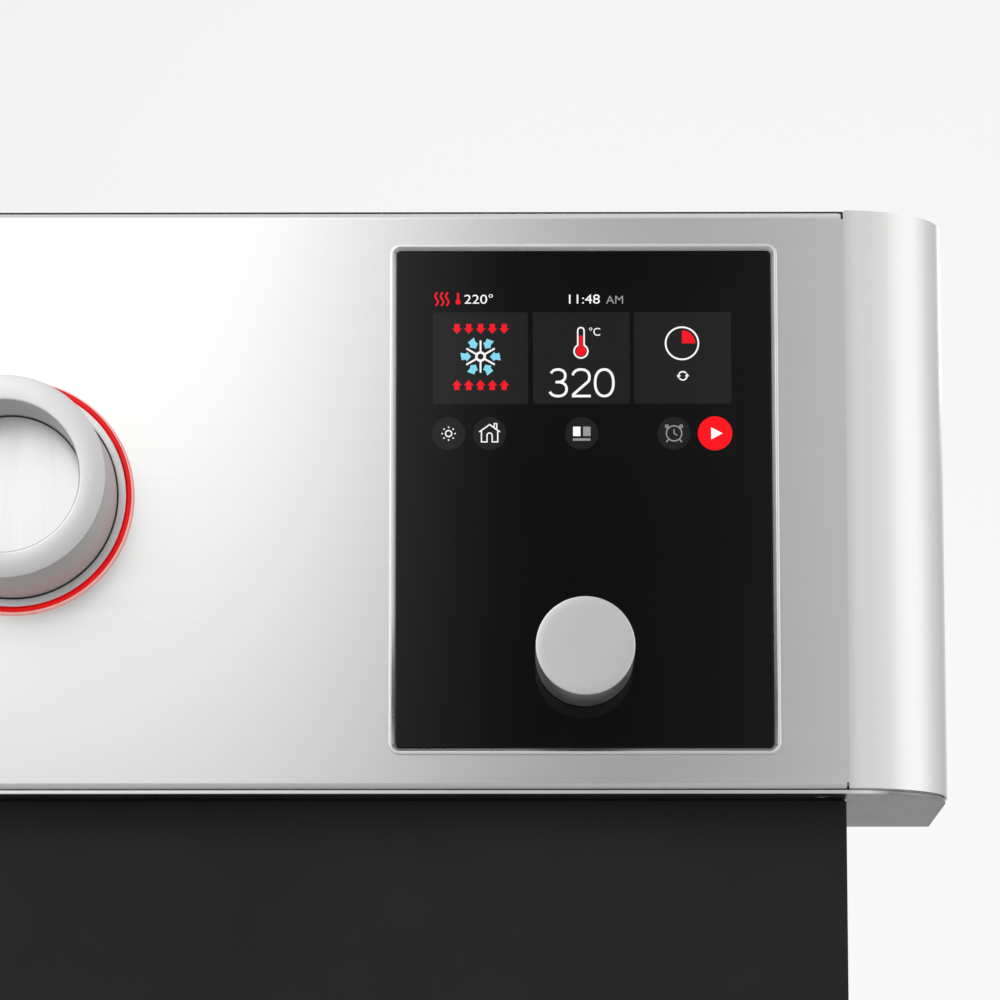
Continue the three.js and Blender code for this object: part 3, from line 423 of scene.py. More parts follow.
def rubber():
    made = Surface("black_rubber", (0.014, 0.014, 0.015), 0.8)
    made.tint(made.noise(200, detail=5), (0.03, 0.03, 0.03), 0.6)
    made.vary_roughness(made.noise(500, detail=3), 0.68, 0.92)
    made.emboss(made.noise(1600, detail=3), 0.00001)
    return made.material


def circuit_board():
    """Green solder mask over paler copper tracks that run in square cells."""
    made = Surface("circuit_board", (0.010, 0.085, 0.035), 0.35)
    tracks = made.add("ShaderNodeTexVoronoi", made.place, distance="MANHATTAN", feature="F1")
    tracks.inputs["Scale"].default_value = 230
    vias = made.add("ShaderNodeTexVoronoi", made.place, feature="F1")
    vias.inputs["Scale"].default_value = 190
    made.tint(tracks.outputs["Distance"], (0.03, 0.20, 0.09), 0.9, 0.5, 0.56)
    made.tint(vias.outputs["Distance"], (0.50, 0.42, 0.22), 1.0, 0.14, 0.10)
    made.vary_roughness(made.noise(300, detail=4), 0.28, 0.45)
    made.emboss(tracks.outputs["Distance"], 0.00002, 0.5)
    return made.material


def black_glass():
    """Glossy black glass, with faint finger smears in its gloss."""
    made = Surface("black_glass", (0.0015, 0.0015, 0.0016), 0.06, Specular_IOR_Level=0.25)
    made.tint(made.noise(9, detail=3), (0.0026, 0.0026, 0.0027))
    made.vary_roughness(made.noise(30, (1, 1, 0.5), 5), 0.035, 0.10)
    return made.material


def lit(name, colour, strength, dimmer=0.92, rough=(0.035, 0.10)):
    """A lit part of the display, or the lamp's light guide: even light with a slight unevenness in it."""
    made = Surface(name, tuple(c * 0.2 for c in colour), 0.1, Specular_IOR_Level=0.25)
    glow = made.add("ShaderNodeMix", data_type="RGBA")
    glow.inputs[6].default_value = (*colour, 1)
    glow.inputs[7].default_value = (*(c * dimmer for c in colour), 1)
    made.links.new(made.spread(made.noise(120, detail=2), 0, 1), glow.inputs[0])
    made.links.new(glow.outputs[2], made.shader.inputs["Emission Color"])
    made.shader.inputs["Emission Strength"].default_value = strength
    made.vary_roughness(made.noise(30, (1, 1, 0.5), 5), *rough)
    return made.material


def pale_floor():
    made = Surface("pale_floor", (0.56, 0.56, 0.555), 0.6)
    made.tint(made.noise(3, detail=4), (0.54, 0.54, 0.535))
    made.vary_roughness(made.noise(20, detail=4), 0.5, 0.7)
    return made.material


def plinth_painted_shade():
    # painted shade: the stage plinth is near-black so that the space under the panel reads as a shaded recess
    made = Surface("plinth_painted_shade", (0.022, 0.022, 0.023), 0.7, Specular_IOR_Level=0.1)
    made.tint(made.noise(8, detail=4), (0.019, 0.019, 0.020))
    made.vary_roughness(made.noise(40, detail=4), 0.6, 0.8)
    return made.material


MATERIALS = {
    "brushed_steel": brushed_steel(),
    "polished_steel": polished_steel(),
    "zinc_steel": zinc_steel(),
    "black_glass": black_glass(),
    "screen": moulded("screen", (0.012, 0.012, 0.013), (0.12, 0.25), 0.000001),
    "satin_aluminium": moulded("satin_aluminium", (0.62, 0.62, 0.62), (0.3, 0.42), 0.000003, 1.05, 1.0),
    "cast_aluminium": cast_aluminium(),
    "black_plastic": moulded("black_plastic", (0.022, 0.022, 0.023), (0.42, 0.62)),
    "white_plastic": moulded("white_plastic", (0.72, 0.70, 0.64), (0.35, 0.5), paler=1.06),
    "circuit_board": circuit_board(),
    "chip": moulded("chip", (0.016, 0.016, 0.017), (0.4, 0.55), 0.000006),
    "red_light": lit("red_light", (0.66, 0.003, 0.003), 1.0, 0.85, (0.25, 0.35)),
    "brass": brass(),
    "black_rubber": rubber(),
}


# ---------------------------------------------------------------- outlines, in millimetres


def arc(centre, radius, start, end, steps=24):
    """Points on an arc, angles in degrees, anticlockwise where end is past start."""
    turns = (math.radians(start + (end - start) * i / steps) for i in range(steps + 1))
    return [(centre[0] + radius * math.cos(t), centre[1] + radius * math.sin(t)) for t in turns]


def circle(centre, radius, steps=48):
    return arc(centre, radius, 0, 360, steps)[:-1]


def rounded_rect(width, height, radius, centre=(0, 0), steps=8):
    reach_x, reach_z = width / 2 - radius, height / 2 - radius
    points = []
    for sx, sz, start in ((1, -1, -90), (1, 1, 0), (-1, 1, 90), (-1, -1, 180)):
        turn = (centre[0] + sx * reach_x, centre[1] + sz * reach_z)
        points += arc(turn, radius, start, start + 90, steps)
    return points


def filleted(points, steps=4):
    """A closed or open profile of (u, v) or (u, v, fillet radius) points, with those corners rounded."""
    made = []
    for i, (u, v, *rest) in enumerate(points):
        here = Vector((u, v))
        radius = rest[0] if rest else 0
        if not radius:
            made.append((u, v))
            continue
        before = Vector(points[i - 1][:2]) - here
        after = Vector(points[(i + 1) % len(points)][:2]) - here
        half = before.angle(after) / 2
        reach = min(radius / math.tan(half), before.length * 0.49, after.length * 0.49)
        start, end = here + before.normalized() * reach, here + after.normalized() * reach
        for k in range(steps + 1):
            t = k / steps
            made.append(tuple(start * (1 - t) ** 2 + here * 2 * t * (1 - t) + end * t**2))
    return made


def stroke_outline(points, width):
    """The outline of an open line of that width, with mitred corners."""
    line = [Vector(p) for p in points]
    sides = []
    for i, here in enumerate(line):
        ahead = (line[i + 1] - here).normalized() if i + 1 < len(line) else None
        behind = (here - line[i - 1]).normalized() if i else None
        along = ((ahead or behind) + (behind or ahead)).normalized()
        across = Vector((-along.y, along.x))
        stretch = 1 / max(across.dot(Vector((-(ahead or behind).y, (ahead or behind).x))), 0.4)
        sides.append((here + across * width / 2 * stretch, here - across * width / 2 * stretch))
    return [tuple(left) for left, _ in sides] + [tuple(right) for _, right in reversed(sides)]


def crossings(point, loop):
    """How often a ray from the point towards +u crosses the loop."""
    u, v = point
    count = 0
    for (u0, v0), (u1, v1) in zip(loop, loop[1:] + loop[:1]):
        if (v0 > v) != (v1 > v) and u < u0 + (v - v0) / (v1 - v0) * (u1 - u0):
            count += 1
    return count


def filled(*loops, extra=()):
    """Triangles that fill an outline and leave its holes open. `extra` holds lines the triangles keep to."""
    points, edges = [], []
    for loop in loops:
        base = len(points)
        points += loop
        edges += [(base + i, base + (i + 1) % len(loop)) for i in range(len(loop))]
    for start, end in extra:
        edges.append((len(points), len(points) + 1))
        points += [start, end]
    verts, _, faces, *_ = delaunay_2d_cdt([Vector(p) for p in points], edges, [], 0, 1e-6)
    kept = []
    for face in faces:
        middle = sum((verts[i] for i in face), Vector((0, 0))) / len(face)
        if sum(crossings(middle, loop) for loop in loops) % 2:
            kept.append(face)
    return verts, kept


# ---------------------------------------------------------------- meshes


def to_mesh(bm, name, tidy=True):
    if tidy:
        bmesh.ops.remove_doubles(bm, verts=bm.verts, dist=1e-7)
        bmesh.ops.recalc_face_normals(bm, faces=bm.faces)
    mesh = bpy.data.meshes.new(name)
    bm.to_mesh(mesh)
    bm.free()
    return mesh


def add_piece(name, mesh, body, slot, *nodes, material=None, sharp=32):
    """A finished piece of the visual model that rides on a body and stands for CAD nodes, if any."""
    piece = add_object(name, mesh)
    mesh.materials.clear()
    mesh.materials.append(material or MATERIALS[slot])
    mesh.shade_smooth()
    mesh.set_sharp_from_angle(angle=math.radians(sharp))
    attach(piece, body)
    if nodes:
        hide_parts(*nodes)
    return piece


def even_flats(piece):
    """Shades each large flat as flat, and leaves the turn to the small faces beside it."""
    modifier = piece.modifiers.new("even_flats", "WEIGHTED_NORMAL")
    modifier.keep_sharp = True


def skin(bm, rings, closed):
    """Joins rings of points. A ring of one point is a pole; open ends are capped, closed ones meet."""
    made = [[bm.verts.new(p) for p in ring] for ring in rings]
    pairs = list(zip(made, made[1:] + made[:1] if closed else made[1:]))
    for one, two in pairs:
        count = max(len(one), len(two))
        for i in range(count):
            j = (i + 1) % count
            corners = [one[i % len(one)], one[j % len(one)], two[j % len(two)], two[i % len(two)]]
            bm.faces.new(list(dict.fromkeys(corners)))
    if not closed:
        for ring in (made[0], made[-1]):
            if len(ring) > 2:
                bm.faces.new(ring)


def lathe(profile, centre, steps=128):
    """A mesh turned about the Y axis through centre. The profile is (radius, y) in millimetres."""
    bm = bmesh.new()
    rings = []
    for radius, y in profile:
        if radius == 0:
            rings.append([(centre.x, y * MM, centre.z)])
        else:
            ring = circle((centre.x / MM, centre.z / MM), radius, steps)
            rings.append([(x * MM, y * MM, z * MM) for x, z in ring])
    skin(bm, rings, closed=profile[0][0] > 0)
    return to_mesh(bm, "turned")


def swept_frame(size, radius, profile, centre):
    """A mesh swept round a rounded rectangle. The profile is (inset from the outer edge, y), millimetres."""
    bm = bmesh.new()
    rings = []
    for inset, y in profile:
        outline = rounded_rect(size[0] - 2 * inset, size[1] - 2 * inset, max(radius - inset, 0.4))
        rings.append([(centre.x + x * MM, y * MM, centre.z + z * MM) for x, z in outline])
    skin(bm, rings, closed=profile[0] != profile[-1] and len(profile) > 4)
    return to_mesh(bm, "swept")


def add_prism(bm, loops, y0, y1, shift=Vector((0, 0, 0))):
    """A flat shape in X and Z, given thickness between two depths. The loops are in millimetres."""
    verts, faces = filled(*loops)

    def layer(y):
        return [bm.verts.new(shift + Vector((v.x * MM, y, v.y * MM))) for v in verts]

    front, back = layer(y0), layer(y1)
    uses = {}
    for face in faces:
        bm.faces.new([front[i] for i in face])
        bm.faces.new([back[i] for i in reversed(face)])
        for i, j in zip(face, face[1:] + face[:1]):
            uses.setdefault(frozenset((i, j)), []).append((i, j))
    for sides in uses.values():
        if len(sides) == 1:
            i, j = sides[0]
            bm.faces.new([front[j], front[i], back[i], back[j]])


def applied(name, mesh, *modifiers):
    """The mesh after those modifiers, each given as (type, settings)."""
    carrier = add_object(name, mesh)
    for kind, settings in modifiers:
        modifier = carrier.modifiers.new(kind.lower(), kind)
        for key, value in settings.items():
            setattr(modifier, key, value)
    bpy.context.view_layer.update()
    done = carrier.evaluated_get(bpy.context.evaluated_depsgraph_get())
    made = bpy.data.meshes.new_from_object(done)
    bpy.data.objects.remove(carrier)
    return made


# ---------------------------------------------------------------- fascia

SHEET = 1.2
CORNER_RADIUS = 32
BEND_RADIUS = 2
FLANGE_DEPTH = 18
RELIEF_INSET = 0.2  # from where the rounded end starts
RELIEF_WIDTH = 0.7
RELIEF_HEIGHT = 2.2
EDGE_LIFT = 0.4
TOP_STEP = 0.6
SUPPORT = 0.1  # flat strip beside a bend, so that the flat keeps one shade
STUD_RADIUS = 2
STUD_PITCH = 0.7


def fascia_skin():
    """The fascia's outer face as one open surface, in millimetres from its lower front edge."""
    half = (PANEL_HIGH.x - PANEL_LOW.x) / 2 / MM
    height = (PANEL_HIGH.z - PANEL_LOW.z) / MM
    depth = (PANEL_HIGH.y - PANEL_LOW.y) / MM
    tangent = half - CORNER_RADIUS
    slot_outer = tangent - RELIEF_INSET
    slot_inner = slot_outer - RELIEF_WIDTH
    flat_top = height - TOP_STEP
    bends = (BEND_RADIUS, flat_top - BEND_RADIUS)
    right_end = [
        (slot_inner, bends[0]),
        (slot_inner, RELIEF_HEIGHT),
        (slot_outer, RELIEF_HEIGHT),
        (slot_outer, EDGE_LIFT),
        (tangent, EDGE_LIFT),
        (tangent, height),
        (slot_outer, height),
        (slot_outer, flat_top - RELIEF_HEIGHT),
        (slot_inner, flat_top - RELIEF_HEIGHT),
        (slot_inner, bends[1]),
    ]
    outline = right_end + [(-x, z) for x, z in reversed(right_end)]

    rim_low, rim_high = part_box("display_rim")
    rim = (rim_high - rim_low) / MM
    rim_centre = ((rim_low + rim_high) / 2 - PANEL_LOW) / MM
    window = rounded_rect(rim.x - 2.2, rim.z - 2.2, 2.3, (rim_centre.x - half, rim_centre.z))
    ring_low, ring_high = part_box("light_ring")
    ring_centre = ((ring_low + ring_high) / 2 - PANEL_LOW) / MM
    opening = circle((ring_centre.x - half, ring_centre.z), 36.5, 96)
    keep = [((-slot_inner, bends[0] + SUPPORT), (slot_inner, bends[0] + SUPPORT))]
    keep.append(((-slot_inner, bends[1] - SUPPORT), (slot_inner, bends[1] - SUPPORT)))
    for x in (-slot_outer, slot_outer):
        keep.append(((x, RELIEF_HEIGHT), (x, flat_top - RELIEF_HEIGHT)))

    bm = bmesh.new()
    verts, faces = filled(outline, window, opening, extra=keep)
    front = [bm.verts.new((v.x, 0, v.y)) for v in verts]
    for face in faces:
        bm.faces.new([front[i] for i in face])

    def add_quad(*corners):
        bm.faces.new([bm.verts.new(c) for c in corners])

    for level, side in ((bends[0], -1), (bends[1], 1)):
        fold = [
            (BEND_RADIUS - BEND_RADIUS * math.cos(t), level + side * BEND_RADIUS * math.sin(t))
            for t in (math.pi / 2 * k / 8 for k in range(9))
        ]
        fold += [(BEND_RADIUS + SUPPORT, fold[-1][1]), (FLANGE_DEPTH, fold[-1][1])]
        left, right = -slot_inner, slot_inner
        for (y0, z0), (y1, z1) in zip(fold, fold[1:]):
            add_quad((left, y0, z0), (right, y0, z0), (right, y1, z1), (left, y1, z1))
    turn = [
        (tangent + CORNER_RADIUS * math.sin(t), CORNER_RADIUS - CORNER_RADIUS * math.cos(t))
        for t in (math.pi / 2 * k / 36 for k in range(37))
    ]
    turn += [(half, CORNER_RADIUS + SUPPORT), (half, depth)]
    low, high = EDGE_LIFT, height
    for side in (-1, 1):
        for (x0, y0), (x1, y1) in zip(turn, turn[1:]):
            x0, x1 = side * x0, side * x1
            add_quad((x0, y0, low), (x1, y1, low), (x1, y1, high), (x0, y0, high))
    bmesh.ops.remove_doubles(bm, verts=bm.verts, dist=1e-3)
    bmesh.ops.recalc_face_normals(bm, faces=bm.faces)
    if min(bm.faces, key=lambda f: f.calc_center_median().y).normal.y > 0:
        bmesh.ops.reverse_faces(bm, faces=bm.faces)
    origin = Vector((0, PANEL_LOW.y, PANEL_LOW.z))
    bmesh.ops.transform(bm, verts=bm.verts, matrix=Matrix.Translation(origin) @ Matrix.Scale(MM, 4))
    return to_mesh(bm, "fascia_skin", tidy=False)


def screw_drill():
    """Two rods that cut the bracket screws' holes through both flanges."""
    bm = bmesh.new()
    for node in ("left_bracket_lower_screw", "right_bracket_lower_screw"):
        low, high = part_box(node)
        middle = (low + high) / 2
        ring = circle((middle.x / MM, middle.y / MM), 2.2, 32)
        levels = (PANEL_LOW.z - 0.01, PANEL_HIGH.z + 0.01)
        skin(bm, [[(x * MM, y * MM, z) for x, y in ring] for z in levels], closed=False)
    return add_object("drill", to_mesh(bm, "drill"))


def add_fascia():
    drill = screw_drill()
    thicken = {"thickness": SHEET * MM, "offset": -1, "use_even_offset": True, "use_quality_normals": True}
    pierce = {"operation": "DIFFERENCE", "object": drill, "solver": "EXACT"}
    deburr = {"width": 0.12 * MM, "segments": 2, "limit_method": "ANGLE", "angle_limit": math.radians(60)}
    sheet = applied("fascia", fascia_skin(), ("SOLIDIFY", thicken), ("BOOLEAN", pierce), ("BEVEL", deburr))
    bpy.data.objects.remove(drill)
    piece = add_piece("fascia_panel_sheet", sheet, "panel", "brushed_steel", "fascia_panel", sharp=26)
    even_flats(piece)


def add_notch_shade_tabs():
    """Black tabs that close the upper relief notches from behind: painted shade, dark pieces put there so that
    the notches show dark.
    """
    tangent = (PANEL_HIGH.x - PANEL_LOW.x) / 2 / MM - CORNER_RADIUS
    notch_x = tangent - RELIEF_INSET - RELIEF_WIDTH / 2
    notch_z = PANEL_HIGH.z / MM - TOP_STEP - RELIEF_HEIGHT / 2
    for name, side in (("left", -1), ("right", 1)):
        outline = rounded_rect(2.4, RELIEF_HEIGHT + 0.8, 0.3, (side * notch_x, notch_z))
        bm = bmesh.new()
        add_prism(bm, [outline], PANEL_LOW.y + (SHEET + 0.05) * MM, PANEL_LOW.y + 4 * MM)
        # painted shade: black rubber tabs stand in for the shade seen through the notches
        add_piece(f"{name}_notch_shade_tab", to_mesh(bm, "tab"), "panel", "black_rubber")


def add_studs():
    """The threaded studs welded behind the fascia, one each side of the gas control."""
    ends = (PANEL_LOW.y / MM + SHEET - 0.2, PANEL_LOW.y / MM + 15)
    count = int((ends[1] - ends[0] - 1.2) / STUD_PITCH)
    root = STUD_RADIUS - 0.3
    profile = [(0, ends[0]), (STUD_RADIUS, ends[0]), (STUD_RADIUS, ends[0] + 0.8)]
    for i in range(count):
        y = ends[0] + 1 + STUD_PITCH * (i + 0.1)
        profile += [(root, y), (STUD_RADIUS, y + STUD_PITCH / 2)]
    profile += [(root, profile[-1][1] + STUD_PITCH / 2), (root, ends[1]), (0, ends[1])]
    for side, nut in (("left", "left_stud_nut"), ("right", "right_stud_nut")):
        low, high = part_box(nut)
        mesh = lathe(profile, (low + high) / 2, 32)
        add_piece(f"{side}_weld_stud", mesh, "panel", "zinc_steel", sharp=50)


# ---------------------------------------------------------------- display module


def add_rim():
    low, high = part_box("display_rim")
    size = ((high.x - low.x) / MM, (high.z - low.z) / MM)
    front, back = low.y / MM, high.y / MM
    glass_front = GLASS_LOW.y / MM
    wall, inner, ledge = 1.3, 2.0, 5.5
    ledge_front, ledge_back = front + 5.2, front + 6.7
    profile = filleted(
        [
            (0, front + 0.8),
            (0, front, 0.5),
            (0.9, front, 0.25),
            (inner, glass_front - 0.1, 0.1),
            (inner, ledge_front),
            (ledge, ledge_front, 0.2),
            (ledge, ledge_back, 0.2),
            (inner + 0.6, ledge_back),
            (inner + 0.6, back, 0.2),
            (wall, back, 0.2),
            (wall, front + 0.8),
        ]
    )
    mesh = swept_frame(size, 3.4, profile, (low + high) / 2)
    add_piece("display_rim_frame", mesh, "panel", "polished_steel", "display_rim")


def add_glass():
    size = ((GLASS_HIGH.x - GLASS_LOW.x) / MM, (GLASS_HIGH.z - GLASS_LOW.z) / MM)
    front, back = GLASS_LOW.y / MM, GLASS_HIGH.y / MM
    edge = 0.35
    round_edge = [(edge, front), (edge * 0.3, front + edge * 0.3), (0, front + edge)]
    profile = [*round_edge, (0, back - edge), (edge, back)]
    bm = bmesh.new()
    rings = []
    for inset, y in profile:
        outline = rounded_rect(size[0] - 2 * inset, size[1] - 2 * inset, 1.4 - inset)
        rings.append([(GLASS_CENTRE.x + x * MM, y * MM, GLASS_CENTRE.z + z * MM) for x, z in outline])
    skin(bm, rings, closed=False)
    even_flats(add_piece("front_glass_plate", to_mesh(bm, "glass"), "panel", "black_glass", "front_glass"))


LAYER = 0.03 * MM  # thickness of one printed or lit layer on the glass


class Layer:
    """Flat marks of one colour. Places are in millimetres from the glass's centre."""

    def __init__(self, level):
        self.bm = bmesh.new()
        self.back = GLASS_LOW.y - LAYER * level
        self.front = self.back - LAYER

    def fill(self, *loops):
        add_prism(self.bm, loops, self.front, self.back, Vector((GLASS_CENTRE.x, 0, GLASS_CENTRE.z)))

    def line(self, points, width):
        self.fill(stroke_outline(points, width))

    def ring(self, centre, radius, width, start=0, end=360):
        if end - start >= 360:
            self.fill(circle(centre, radius + width / 2), circle(centre, radius - width / 2))
        else:
            outer = arc(centre, radius + width / 2, start, end)
            self.fill(outer + arc(centre, radius - width / 2, end, start))

    def text(self, words, left, right, bottom, top, weight=0.0):
        """Figures set to fill the box from left to right and bottom to top."""
        curve = bpy.data.curves.new("figures", "FONT")
        curve.body = words
        curve.offset = weight
        curve.extrude = 0.5
        mesh = applied("figures", curve)
        box = [[f(v.co[k] for v in mesh.vertices) for f in (min, max)] for k in (0, 1)]
        (x0, x1), (z0, z1) = box
        place = (GLASS_CENTRE.x + left * MM, self.back - LAYER / 2, GLASS_CENTRE.z + bottom * MM)
        mesh.transform(
            Matrix.Translation(place)
            @ Matrix.Diagonal(((right - left) * MM / (x1 - x0), LAYER, (top - bottom) * MM / (z1 - z0), 1))
            @ Matrix.Rotation(math.pi / 2, 4, "X")
            @ Matrix.Translation((-x0, -z0, 0))
        )
        self.bm.from_mesh(mesh)
        bpy.data.meshes.remove(mesh)

    def done(self, name, colour, strength=1.0):
        material = lit(name, colour, strength)
        add_piece(name, to_mesh(self.bm, name), "panel", "screen", material=material)


SCREEN = (95.0, 53.9)
SCREEN_CENTRE = (-0.7, 39.6)
TILE_BOTTOM, TILE_TOP = 29.3, 58.0
TILES = ((-46.5, -17.2), (-15.6, 14.2), (15.5, 45.4))
STATUS_ROW = 62.2
BUTTON_ROW = 20.0
BUTTONS = {"sun": -41.6, "house": -29.0, "split": -0.7, "clock": 27.7, "start": 40.3}
BUTTON_RADIUS = 5.1
FAN = (-31.8, 44.1)
DIAL = (30.3, 48.2)
FIGURE_STROKE = 0.78
FIGURE_PITCH = 7.05


def turned_points(points, centre, degrees):
    c, s = math.cos(math.radians(degrees)), math.sin(math.radians(degrees))
    return [(centre[0] + u * c - v * s, centre[1] + u * s + v * c) for u, v in points]


def oval(centre, half_width, half_height, start, end, steps=28):
    """Points on an ellipse, slightly squared, from one angle to another."""
    made = []
    for i in range(steps + 1):
        t = math.radians(start + (end - start) * i / steps)
        c, s = math.cos(t), math.sin(t)
        made.append((
            centre[0] + half_width * math.copysign(abs(c) ** 0.9, c),
            centre[1] + half_height * math.copysign(abs(s) ** 0.9, s),
        ))
    return made


def draw_figures(marks, left, bottom):
    """The set temperature in large thin figures, each 6.4 mm wide and 9.1 mm high with its stroke."""
    x, z = left, bottom
    upper = oval((x + 3.05, z + 6.75), 2.25, 1.97, 160, -88)
    lower = oval((x + 3.05, z + 2.58), 2.65, 2.2, 88, -160)
    marks.line(upper + [(x + 2.3, z + 4.78)], FIGURE_STROKE)
    marks.line([(x + 2.3, z + 4.78)] + lower, FIGURE_STROKE)
    x += FIGURE_PITCH
    marks.line(oval((x + 3.1, z + 6.35), 2.6, 2.37, 168, -35) + [(x + 0.55, z + 0.75)], FIGURE_STROKE)
    marks.line([(x + 0.3, z + 0.4), (x + 6.1, z + 0.4)], FIGURE_STROKE)
    x += FIGURE_PITCH
    marks.fill(oval((x + 3.2, z + 4.55), 3.2, 4.55, 0, 360, 56)[:-1],
               oval((x + 3.2, z + 4.55), 3.2 - FIGURE_STROKE, 4.55 - FIGURE_STROKE, 0, 360, 56)[:-1])


def thermometer(x, bulb, top, bulb_radius, half_stem):
    """Outline of a bulb with a stem up to `top`, where its round end is centred."""
    lean = math.degrees(math.asin(half_stem / bulb_radius))
    return arc((x, bulb), bulb_radius, 90 + lean, 450 - lean, 40) + arc((x, top), half_stem, 0, 180, 16)


def draw_white(marks):
    marks.text("220°", -36.8, -28.0, STATUS_ROW - 1.5, STATUS_ROW + 1.5)
    marks.text("11:48", -4.5, 5.0, STATUS_ROW - 1.5, STATUS_ROW + 1.4)
    draw_figures(marks, -11.0, 31.3)
    marks.text("°C", 1.7, 5.1, 50.6, 53.2)
    for k in range(6):
        marks.line(turned_points([(1.5, 0), (5.05, 0)], FAN, 60 * k + 30), 0.55)
    marks.ring(FAN, 1.28, 0.72)
    outline = thermometer(-0.85, 45.75, 52.2, 2.35, 1.2)
    marks.fill(outline, thermometer(-0.85, 45.75, 52.2, 1.87, 0.75))
    marks.ring(DIAL, 5.05, 0.52)
    for k in (0, 180):
        centre = (30.5, 38.0)
        marks.ring(centre, 1.3, 0.42, k + 35, k + 172)
        marks.fill(turned_points([(-1.95, 0.15), (-0.55, 0.15), (-1.35, -0.75)], centre, k))
    sun = (BUTTONS["sun"], BUTTON_ROW)
    marks.ring(sun, 0.95, 0.38)
    for k in range(8):
        marks.line(turned_points([(1.75, 0), (2.2, 0)], sun, 45 * k), 0.4)
    x, z = BUTTONS["house"], BUTTON_ROW
    marks.line([(x - 3.2, z + 0.5), (x, z + 2.8), (x + 3.2, z + 0.5)], 0.4)
    door = arc((x, z - 0.6), 0.8, 180, 0, 8)
    left_wall = [(x - 2.5, z + 0.8), (x - 2.5, z - 2.6), (x - 0.8, z - 2.6)]
    right_wall = [(x + 0.8, z - 2.6), (x + 2.5, z - 2.6), (x + 2.5, z + 0.8)]
    marks.line(left_wall + door + right_wall, 0.38)
    marks.line([(x + 1.4, z + 2.1), (x + 1.4, z + 3.1), (x + 2.2, z + 3.1), (x + 2.2, z + 1.5)], 0.35)
    x, z = BUTTONS["split"], BUTTON_ROW
    marks.fill(rounded_rect(2.3, 2.95, 0.15, (x - 1.5, z + 0.65), 2))
    x = BUTTONS["start"]
    marks.fill([(x - 1.2, z - 1.9), (x + 2.35, z), (x - 1.2, z + 1.9)])


def draw_red(marks):
    for x in (-45.4, -43.7, -42.1):
        wave = []
        for k in range(25):
            rise = k / 24
            sway = 0.55 * math.sin(TAU * rise) + 0.25 * (2 * rise - 1)
            wave.append((x + sway, STATUS_ROW - 2.1 + 4.2 * rise))
        marks.line(wave, 0.55)
    marks.fill(thermometer(-38.75, STATUS_ROW - 0.95, STATUS_ROW + 1.7, 0.8, 0.34))
    head = [(0, -1.55), (1.45, 0.1), (0.8, 0.1), (0.8, 1.55), (-0.8, 1.55), (-0.8, 0.1), (-1.45, 0.1)]
    for k in range(-2, 3):
        x = FAN[0] + 3.64 * k
        marks.fill([(x + u, 52.8 + v) for u, v in head])
        marks.fill([(x + u, 35.2 - v) for u, v in head])
    marks.fill(thermometer(-0.85, 45.75, 50.2, 1.6, 0.5))
    marks.fill([DIAL] + arc(DIAL, 4.1, 0, 90))


def draw_display():
    backlight = Layer(0)
    backlight.fill(rounded_rect(*SCREEN, 0.3, SCREEN_CENTRE))
    backlight.done("screen_backlight", (0.0022, 0.0022, 0.0023))

    tiles = Layer(1)
    for left, right in TILES:
        middle = ((left + right) / 2, (TILE_BOTTOM + TILE_TOP) / 2)
        tiles.fill(rounded_rect(right - left, TILE_TOP - TILE_BOTTOM, 0.4, middle))
    for name in ("sun", "house", "split", "clock"):
        tiles.fill(circle((BUTTONS[name], BUTTON_ROW), BUTTON_RADIUS))
    tiles.done("screen_tiles", (0.0120, 0.0120, 0.0124))

    button = Layer(1)
    button.fill(circle((BUTTONS["start"], BUTTON_ROW), BUTTON_RADIUS + 0.2))
    button.done("screen_start_button", (0.88, 0.004, 0.010))

    red = Layer(2)
    draw_red(red)
    red.done("screen_red_marks", (0.80, 0.006, 0.014))

    white = Layer(2)
    draw_white(white)
    white.done("screen_white_marks", (0.86, 0.86, 0.87))

    grey = Layer(2)
    grey.text("AM", 6.9, 12.2, STATUS_ROW - 1.5, STATUS_ROW + 1.0)
    clock = (BUTTONS["clock"], BUTTON_ROW)
    grey.ring(clock, 2.35, 0.38)
    grey.line([(clock[0], clock[1] + 1.3), clock, (clock[0] + 1.0, clock[1] - 0.6)], 0.35)
    for side in (-1, 1):
        bell = turned_points([(0, 3.1)], clock, side * 45)[0]
        grey.ring(bell, 0.42, 0.36)
        grey.line([(clock[0] + side * u, clock[1] - v) for u, v in ((1.6, 1.8), (2.4, 2.7))], 0.4)
    x, z = BUTTONS["split"], BUTTON_ROW
    grey.fill(rounded_rect(2.3, 2.95, 0.15, (x + 1.6, z + 0.65), 2))
    grey.fill(rounded_rect(5.4, 0.75, 0.1, (x, z - 1.9), 2))
    grey.done("screen_grey_marks", (0.27, 0.27, 0.28))

    cyan = Layer(2)
    arrow = [(-1.55, 0.0), (-0.2, 1.5), (0.1, 0.95), (1.35, 1.15), (1.75, -1.2), (0.3, -0.95), (-0.5, -1.35)]
    for k in range(6):
        place = turned_points([(4.45, 0)], FAN, 60 * k)[0]
        cyan.fill(turned_points(arrow, place, 60 * k))
    cyan.done("screen_cyan_marks", (0.20, 0.60, 0.78))


def add_selector():
    low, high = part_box("selector_knob")
    front, rear = low.y / MM, high.y / MM
    radius = (high.x - low.x) / 2 / MM
    wall = 1.4
    profile = filleted(
        [
            (0, front),
            (radius - 2.5, front),
            (radius, front + 0.02, 0.5),
            (radius, rear, 0.15),
            (radius - wall, rear, 0.15),
            (radius - wall, front + 1.8),
            (0, front + 1.8),
        ]
    )
    satin = turned_metal("selector_satin", "selector_knob", (0.66, 0.66, 0.66), (0.36, 0.39))
    mesh = lathe(profile, (low + high) / 2)
    add_piece("selector_knob_cap", mesh, "selector", "satin_aluminium", "selector_knob", material=satin)


# ---------------------------------------------------------------- gas control


